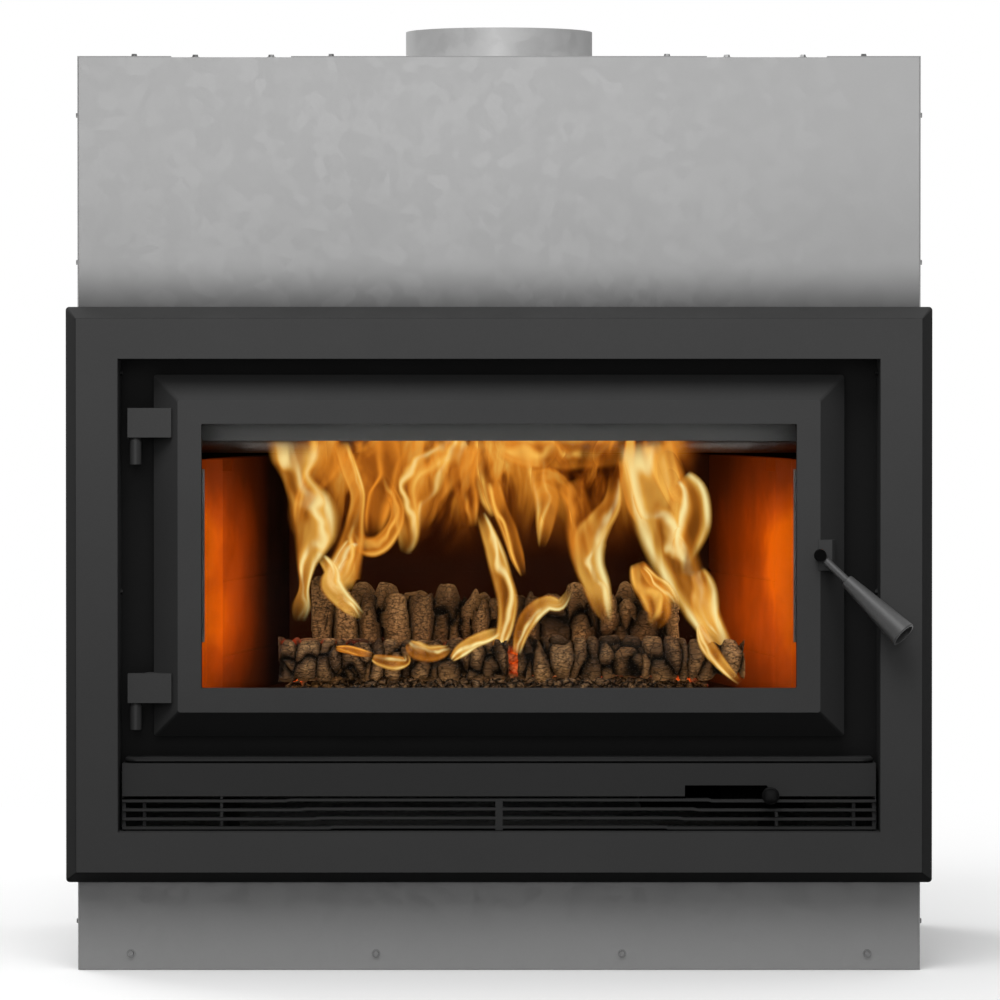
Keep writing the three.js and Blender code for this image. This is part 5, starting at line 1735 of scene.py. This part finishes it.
@dataclass
class Fire:
    """The logs, the embers and the flames.

    Attributes:
        tongues: Every tongue of flame, by what it was called when it was read.
        camera: The camera that took the photograph.
        voxel: Size of the cells that a log's mesh is made even with.
        along: Points along a tongue between two of its places.
        across: Faces across a tongue.
        cup: How far a tongue is cupped, as a share of its half width.
        cup_limit: Half width beyond which it isn't cupped deeper.
        ceiling: Height over which no flame is drawn.
        veil_spread: How much wider than read a veil is.
        core_ahead: How far a core stands before its veil.
        wall_depth: Depth of the wall of fire.
        wall_half: Half its width.
        wall_foot: Height of its foot.
        wall_top: Height of its top.
        ripple: How far it ripples.
    """

    tongues: dict[str, Tongue]
    camera: Camera
    voxel: float = 0.0017
    along: int = 6
    across: int = 10
    cup: float = 0.35
    cup_limit: float = 0.016
    ceiling: float = 0.563
    veil_spread: float = 1.25
    core_ahead: float = 0.003
    wall_depth: float = -0.122
    wall_half: float = 0.236
    wall_foot: float = 0.41
    wall_top: float = 0.562
    ripple: float = 0.012

    def build(self, nodes: Nodes, wear: Finishes, coals: CoalTree) -> None:
        """Builds logs, coals and flames.

        Args:
            nodes: The solids by name.
            wear: The finishes.
            coals: The tree that scatters embers.
        """
        for name, bark in BARKS.items():
            log = self._log(nodes[name], f"{name}_charred", wear.log, bark)
            settle(log, Body.ROOT, Slot.WOOD, name)
        bed = Soften(angle=60.0).copy(nodes["ember_bed"], "ember_bed_coals", wear.coal)
        coals.grow(bed, wear.coal, Density=7000.0, Size=0.0065, Seed=5)
        settle(bed, Body.ROOT, Slot.EMBERS, "ember_bed")
        self._flames("flame_veils", wear.flame_veil, self.veil_spread, 0.0)
        self._flames("flame_cores", wear.flame_core, 1.0, self.core_ahead)
        self._wall(wear)

    def _log(self, node: Item, name: str, finish: Material, bark: Bark) -> Item:
        """Builds a charred log on the solid's own shape, with raised blocks and deep cracks.

        Args:
            node: The solid log.
            name: The new piece's name.
            finish: Its material.
            bark: How it has charred.

        Returns:
            The piece.
        """
        item = Soften(angle=180.0).copy(node, name, finish)
        remesh = item.modifiers.new("even", "REMESH")
        remesh.mode = "VOXEL"
        remesh.voxel_size = self.voxel
        fix_plain(item)
        shape = bmesh.new()
        shape.from_mesh(item.data)
        low = min(vertex.co.z for vertex in shape.verts)
        shape.normal_update()
        layer = shape.verts.layers.float_vector.new("char")
        for vertex in shape.verts:
            marks, drop = bark.mark(vertex.co.copy())
            vertex.co -= vertex.normal * drop
            vertex.co.z = max(vertex.co.z, low)
            vertex[layer] = Vector(marks)
        for face in shape.faces:
            face.smooth = True
        shape.to_mesh(item.data)
        shape.free()
        wear_only(item, finish)
        return item

    def _flames(self, name: str, finish: Material, spread: float, ahead: float) -> None:
        """Builds one ribbon for each tongue.

        Args:
            name: The piece's name.
            finish: Its material.
            spread: How much wider than read the ribbons are.
            ahead: How far they stand before the depth that was read.
        """
        mesh = bpy.data.meshes.new(name)
        shape = bmesh.new()
        uv = shape.loops.layers.uv.new("flame")
        gain = shape.verts.layers.float.new("gain")
        for number, (label, tongue) in enumerate(self.tongues.items()):
            line = [(x, z, half * spread) for x, z, half in tongue.line(self.camera)]
            grid = self._ribbon(shape, line, tongue.depth - ahead, self.cup if number % 2 else -self.cup)
            for vertex in sum(grid, []):
                vertex[gain] = tongue.gain
            self._skin(shape, uv, grid, bool(number % 2))
            LOG.debug("%s has the tongue %s", name, label)
        for face in shape.faces:
            face.smooth = True
        shape.to_mesh(mesh)
        shape.free()
        mesh.materials.append(finish)
        settle(mesh_object(name, mesh), Body.ROOT, Slot.EMBERS)

    def _wall(self, wear: Finishes) -> None:
        """Builds the rippled wall of fire behind the tongues."""
        columns, rows = 48, 16
        points, faces = [], []
        for row in range(rows + 1):
            for column in range(columns + 1):
                x = self.wall_half * (2 * column / columns - 1)
                z = self.wall_foot + (self.wall_top - self.wall_foot) * row / rows
                ripple = self.ripple * noise.noise(Vector((x * 18.0, 3.0, z * 9.0)))
                points.append((x, self.wall_depth + ripple, z))
        for row in range(rows):
            for column in range(columns):
                first = row * (columns + 1) + column
                faces.append((first, first + 1, first + columns + 2, first + columns + 1))
        mesh = bpy.data.meshes.new("flame_wall")
        mesh.from_pydata(points, [], faces)
        mesh.shade_smooth()
        mesh.materials.append(wear.flame_wall)
        settle(mesh_object("flame_wall", mesh), Body.ROOT, Slot.EMBERS)

    def _ribbon(self, shape: Shape, line: Sequence[Point], depth: float, cup: float) -> list[list]:
        """Adds the points of one tongue, cupped and following its line.

        Args:
            shape: The mesh that they go into.
            line: X, z and half width of the tongue's places.
            depth: Its depth.
            cup: How far it is cupped, and which way.

        Returns:
            The new vertices, row by row.
        """
        rows = self._smooth_line(line)
        grid = []
        for index, (x, z, half) in enumerate(rows):
            ahead = rows[min(index + 1, len(rows) - 1)]
            behind = rows[max(index - 1, 0)]
            way = Vector((ahead[0] - behind[0], ahead[1] - behind[1])).normalized()
            row = []
            for step in range(self.across + 1):
                side = 2 * step / self.across - 1
                bulge = cup * min(half, self.cup_limit) * (1 - side * side)
                height = min(z - way.x * half * side, self.ceiling)
                row.append(shape.verts.new((x + way.y * half * side, depth + bulge, height)))
            grid.append(row)
        return grid

    def _skin(self, shape: Shape, uv: Any, grid: Sequence[Sequence], forward: bool) -> None:
        """Lays faces over a tongue's points and maps them.

        Args:
            shape: The mesh.
            uv: The layer that maps it: across in u and along in v.
            grid: The points, row by row.
            forward: True where u runs the same way as the points.
        """
        total = len(grid) - 1
        for index in range(total):
            for step in range(self.across):
                marks = ((step, index), (step + 1, index), (step + 1, index + 1), (step, index + 1))
                face = shape.faces.new([grid[along][side] for side, along in marks])
                for loop, (side, along) in zip(face.loops, marks):
                    share = side / self.across
                    loop[uv].uv = (share if forward else 1.0 - share, along / total)

    def _smooth_line(self, line: Sequence[Point]) -> list[Point]:
        """Passes a smooth curve through a tongue's places.

        Args:
            line: The places.

        Returns:
            Many places on the curve.
        """
        rows = []
        last = len(line) - 1
        for index in range(last):
            a, b = line[max(index - 1, 0)], line[index]
            c, d = line[index + 1], line[min(index + 2, last)]
            for step in range(self.along):
                t = step / self.along
                rows.append(tuple(
                    q + 0.5 * t * (r - p + t * (2 * p - 5 * q + 4 * r - s + t * (3 * q - p - 3 * r + s)))
                    for p, q, r, s in zip(a, b, c, d)
                ))
        rows.append(tuple(line[last]))
        return rows


TONGUES = {
    "left plume": Tongue(LEFT_CROP, -0.135, 0.95, (
        (198, 36, 52), (196, 75, 40), (200, 110, 24), (222, 165, 40), (232, 212, 38), (218, 262, 20),
        (212, 310, 9), (206, 345, 15), (202, 376, 10),
    )),
    "left plume inner": Tongue(LEFT_CROP, -0.1305, 0.7, (
        (262, 36, 40), (250, 80, 30), (225, 120, 22), (205, 160, 14), (200, 200, 6),
    )),
    "left loop strand": Tongue(LEFT_CROP, -0.129, 0.75, (
        (278, 40, 14), (296, 90, 14), (312, 140, 13), (306, 190, 16), (298, 235, 22), (282, 275, 26),
        (262, 305, 20),
    )),
    "loop bottom": Tongue(LEFT_CROP, -0.1275, 0.62, (
        (300, 205, 12), (322, 232, 16), (352, 232, 17), (378, 200, 14), (386, 165, 12), (372, 130, 10),
        (356, 95, 6),
    )),
    "lick left": Tongue(LEFT_CROP, -0.138, 1, (
        (244, 254, 9), (262, 280, 14), (262, 305, 20), (282, 332, 16), (302, 352, 12), (322, 366, 6),
    )),
    "lick left high": Tongue(LEFT_CROP, -0.1365, 1, (
        (306, 225, 14), (292, 262, 26), (282, 295, 30), (290, 322, 14),
    )),
    "mid strand a": Tongue(LEFT_CROP, -0.126, 0.85, (
        (470, 38, 46), (436, 62, 36), (408, 92, 26), (396, 130, 22), (402, 180, 22), (404, 222, 20),
        (398, 250, 8),
    )),
    "mid strand b": Tongue(LEFT_CROP, -0.1245, 0.8, (
        (520, 38, 44), (492, 70, 38), (462, 104, 34), (442, 142, 26), (436, 178, 20), (430, 205, 8),
    )),
    "mid strand c": Tongue(LEFT_CROP, -0.1215, 0.5, (
        (512, 44, 30), (508, 100, 24), (516, 150, 20), (520, 200, 14),
    )),
    "mid strand d": Tongue(LEFT_CROP, -0.123, 0.7, (
        (562, 40, 40), (552, 90, 28), (560, 140, 22), (572, 180, 14),
    )),
    "top smoke left": Tongue(LEFT_CROP, -0.123, 0.45, (
        (330, 42, 60), (352, 80, 44), (348, 130, 34), (340, 180, 26), (336, 215, 16),
    )),
    "centre column": Tongue(RIGHT_CROP, -0.123, 0.75, (
        (84, 566, 52), (76, 620, 26), (88, 670, 22), (84, 720, 16), (76, 766, 6),
    )),
    "top band": Tongue(RIGHT_CROP, -0.12, 0.7, (
        (0, 568, 26), (60, 586, 34), (120, 590, 30), (180, 586, 30), (240, 580, 30),
    )),
    "centre thin": Tongue(RIGHT_CROP, -0.138, 0.7, (
        (-14, 640, 12), (0, 690, 14), (18, 735, 14), (34, 785, 12), (44, 820, 5),
    )),
    "centre strand": Tongue(RIGHT_CROP, -0.147, 0.95, (
        (-36, 700, 10), (-14, 760, 16), (2, 815, 18), (14, 865, 18), (8, 915, 14), (-8, 960, 9),
        (-14, 985, 4),
    )),
    "lick on log": Tongue(RIGHT_CROP, -0.178, 1, (
        (30, 965, 7), (42, 915, 14), (62, 885, 15), (88, 868, 13), (112, 870, 10), (132, 840, 5),
    )),
    "belly": Tongue(RIGHT_CROP, -0.132, 0.98, (
        (214, 632, 10), (208, 680, 16), (184, 716, 22), (162, 752, 30), (164, 795, 26), (180, 840, 22),
        (192, 880, 16), (202, 905, 7),
    )),
    "belly back": Tongue(RIGHT_CROP, -0.126, 0.5, (
        (128, 640, 24), (146, 690, 24), (150, 740, 26), (150, 800, 16),
    )),
    "thin right": Tongue(RIGHT_CROP, -0.129, 0.85, (
        (228, 600, 8), (238, 650, 12), (250, 690, 12), (268, 730, 8),
    )),
    "right main": Tongue(RIGHT_CROP, -0.135, 0.98, (
        (262, 566, 40), (272, 620, 42), (286, 690, 40), (308, 755, 38), (336, 810, 38), (364, 862, 34),
        (392, 910, 24), (416, 950, 18), (446, 1010, 9),
    )),
    "right blob": Tongue(RIGHT_CROP, -0.1305, 1, (
        (330, 640, 22), (352, 668, 30), (356, 712, 32), (346, 752, 28), (338, 790, 20),
    )),
    "right wing": Tongue(RIGHT_CROP, -0.132, 0.65, (
        (296, 570, 30), (306, 610, 26), (322, 650, 22), (340, 700, 14),
    )),
    "right ear": Tongue(RIGHT_CROP, -0.138, 1, (
        (366, 806, 14), (378, 838, 22), (380, 872, 26), (390, 905, 18), (408, 930, 8),
    )),
    "right low": Tongue(RIGHT_CROP, -0.141, 0.7, (
        (254, 792, 12), (266, 822, 22), (286, 850, 24), (296, 885, 22), (284, 915, 10),
    )),
    "right low bright": Tongue(RIGHT_CROP, -0.144, 0.85, (
        (262, 800, 6), (284, 826, 12), (308, 842, 12), (326, 872, 10),
    )),
    "front lick a": Tongue(LEFT_CROP, -0.182, 1, (
        (338, 440, 5), (352, 446, 10), (378, 452, 13), (402, 448, 8), (398, 434, 4),
    )),
    "front lick b": Tongue(LEFT_CROP, -0.182, 1, (
        (404, 412, 6), (418, 424, 15), (442, 434, 16), (468, 430, 12), (484, 422, 5),
    )),
    "front lick c": Tongue(LEFT_CROP, -0.182, 1, (
        (484, 446, 5), (504, 428, 12), (530, 410, 12), (556, 400, 12), (578, 392, 7),
    )),
    "front line": Tongue(LEFT_CROP, -0.176, 0.6, (
        (270, 424, 4), (292, 426, 7), (316, 432, 7), (342, 436, 4),
    )),
    "front tip right": Tongue(RIGHT_CROP, -0.18, 0.9, (
        (372, 906, 6), (380, 936, 12), (396, 962, 14), (420, 992, 10), (448, 1018, 5),
    )),
}


@dataclass(frozen=True)
class Lamp:
    """One soft square lamp.

    Attributes:
        name: The lamp's name.
        place: Where it hangs.
        aim: What it looks at.
        size: Its side.
        power: Its power in watts.
    """

    name: str
    place: Point
    aim: Point
    size: float
    power: float

    def hang(self) -> None:
        """Puts the lamp in the scene."""
        data = bpy.data.lights.new(self.name, "AREA")
        data.shape = "SQUARE"
        data.size = self.size
        data.energy = self.power
        lamp = bpy.data.objects.new(self.name, data)
        bpy.context.scene.collection.objects.link(lamp)
        lamp.location = self.place
        lamp.rotation_euler = (Vector(self.aim) - Vector(self.place)).to_track_quat("-Z", "Y").to_euler()


LAMPS = (
    Lamp("key", (-0.25, -2.5, 3.6), (0.0, 0.0, 0.6), size=2.2, power=74.0),
    Lamp("fill", (-0.2, -5.6, 1.6), (0.0, 0.0, 0.5), size=2.0, power=32.0),
    Lamp("rear", (-2.4, 3.2, 2.8), (0.0, 0.0, 0.5), size=2.4, power=70.0),
)


@dataclass
class Studio:
    """The floor, the lamps, the world and the camera.

    Attributes:
        camera: The camera that took the photograph.
        sensor: Width of the drawn camera's sensor in millimetres.
        floor_reach: How far the floor reaches each way.
        floor_drop: How far it lies under the object, so that the two don't touch.
        overhead: Light from straight above.
        ahead: Light from straight ahead, which falls off to the sides.
        behind: Light from straight behind.
        around: Light from everywhere.
    """

    camera: Camera
    sensor: float = 36.0
    floor_reach: float = 14.0
    floor_drop: float = 0.0004
    overhead: float = 0.75
    ahead: float = 0.2
    behind: float = 0.3
    around: float = 0.07

    def build(self) -> None:
        """Builds the whole studio."""
        self._camera()
        self._floor()
        self._world()
        for lamp in LAMPS:
            lamp.hang()

    def _camera(self) -> None:
        """Sets the camera as it stood for the photograph."""
        data = bpy.data.cameras.new("camera")
        data.sensor_width = self.sensor
        data.lens = self.camera.focal * self.sensor / self.camera.width
        data.shift_y = self.camera.shift
        data.clip_end = 60.0
        camera = bpy.data.objects.new("camera", data)
        bpy.context.scene.collection.objects.link(camera)
        camera.location = self.camera.place
        camera.rotation_euler = (math.radians(90.0 - self.camera.tilt), 0.0, 0.0)
        bpy.context.scene.camera = camera

    def _floor(self) -> None:
        """Lays a pale floor that holds the object's shadow and fades to white away from it."""
        mesh = bpy.data.meshes.new("floor")
        turns = ((-1, -1), (1, -1), (1, 1), (-1, 1))
        corners = [(x * self.floor_reach, y * self.floor_reach, 0) for x, y in turns]
        mesh.from_pydata(corners, [], [(0, 1, 2, 3)])
        floor = mesh_object("floor", mesh)
        floor.location.z = -self.floor_drop
        material = bpy.data.materials.new("floor_pale")
        material.use_nodes = True
        material.node_tree.nodes.clear()
        sheet = Sheet(material.node_tree)
        light = sheet.add("ShaderNodeLightPath")
        seen = sheet.math("MAXIMUM", light.outputs["Is Camera Ray"], light.outputs["Is Glossy Ray"])
        seen = sheet.math("MAXIMUM", seen, light.outputs["Is Transmission Ray"])
        length = sheet.add("ShaderNodeVectorMath", {0: sheet.place()}, operation="LENGTH")
        far = sheet.span(length.outputs[1], 0.8, 2.2)
        shade = sheet.add("ShaderNodeBsdfDiffuse", {0: sheet.blend(seen, grey(34), grey(252))})
        glow = sheet.add("ShaderNodeEmission", {0: (1.0, 1.0, 1.0), 1: 1.0})
        white = sheet.times(seen, far)
        mixed = sheet.add("ShaderNodeMixShader", {0: white, 1: shade.outputs[0], 2: glow.outputs[0]})
        out = sheet.add("ShaderNodeOutputMaterial")
        sheet.feed(out.inputs[0], mixed.outputs[0])
        mesh.materials.append(material)

    def _world(self) -> None:
        """Sets a world that is white behind the object and lights it softly, more from above."""
        world = bpy.data.worlds.new("studio")
        bpy.context.scene.world = world
        world.use_nodes = True
        world.node_tree.nodes.clear()
        sheet = Sheet(world.node_tree)
        axes = sheet.parts(sheet.add("ShaderNodeTexCoord").outputs["Generated"])
        above = sheet.times(sheet.math("MAXIMUM", axes[2], 0.0), self.overhead)
        towards = sheet.math("MAXIMUM", sheet.times(axes[1], -1.0), 0.0)
        ahead = sheet.times(sheet.math("POWER", towards, 3.0), self.ahead)
        behind = sheet.times(sheet.math("MAXIMUM", axes[1], 0.0), self.behind)
        level = sheet.plus(sheet.plus(above, sheet.plus(ahead, behind)), self.around)
        light = sheet.add("ShaderNodeLightPath")
        soft = sheet.add("ShaderNodeBackground", {0: level, 1: 1.0})
        white = sheet.add("ShaderNodeBackground", {0: (1.0, 1.0, 1.0), 1: 1.0})
        mixed = sheet.add("ShaderNodeMixShader", {
            0: light.outputs["Is Camera Ray"], 1: soft.outputs[0], 2: white.outputs[0],
        })
        out = sheet.add("ShaderNodeOutputWorld")
        sheet.feed(out.inputs[0], mixed.outputs[0])


def main() -> None:
    """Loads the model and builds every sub-assembly's looks."""
    logging.basicConfig(level=logging.INFO, format="%(name)s: %(message)s")
    noise.seed_set(CRACK_SEED)
    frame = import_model()
    bpy.context.scene.view_settings.view_transform = "Standard"
    nodes = frame["nodes"]
    camera = Camera()
    Studio(camera).build()
    wear = Finishes()
    screws = ScrewTree()
    Casing().build(nodes, wear, screws)
    Surround().build(nodes, wear, screws)
    AirControl().build(nodes, wear)
    Door().build(nodes, wear, RopeTree(), screws)
    Firebox().build(nodes, wear)
    Fire(TONGUES, camera).build(nodes, wear, CoalTree())


if __name__ == "__main__":
    main()
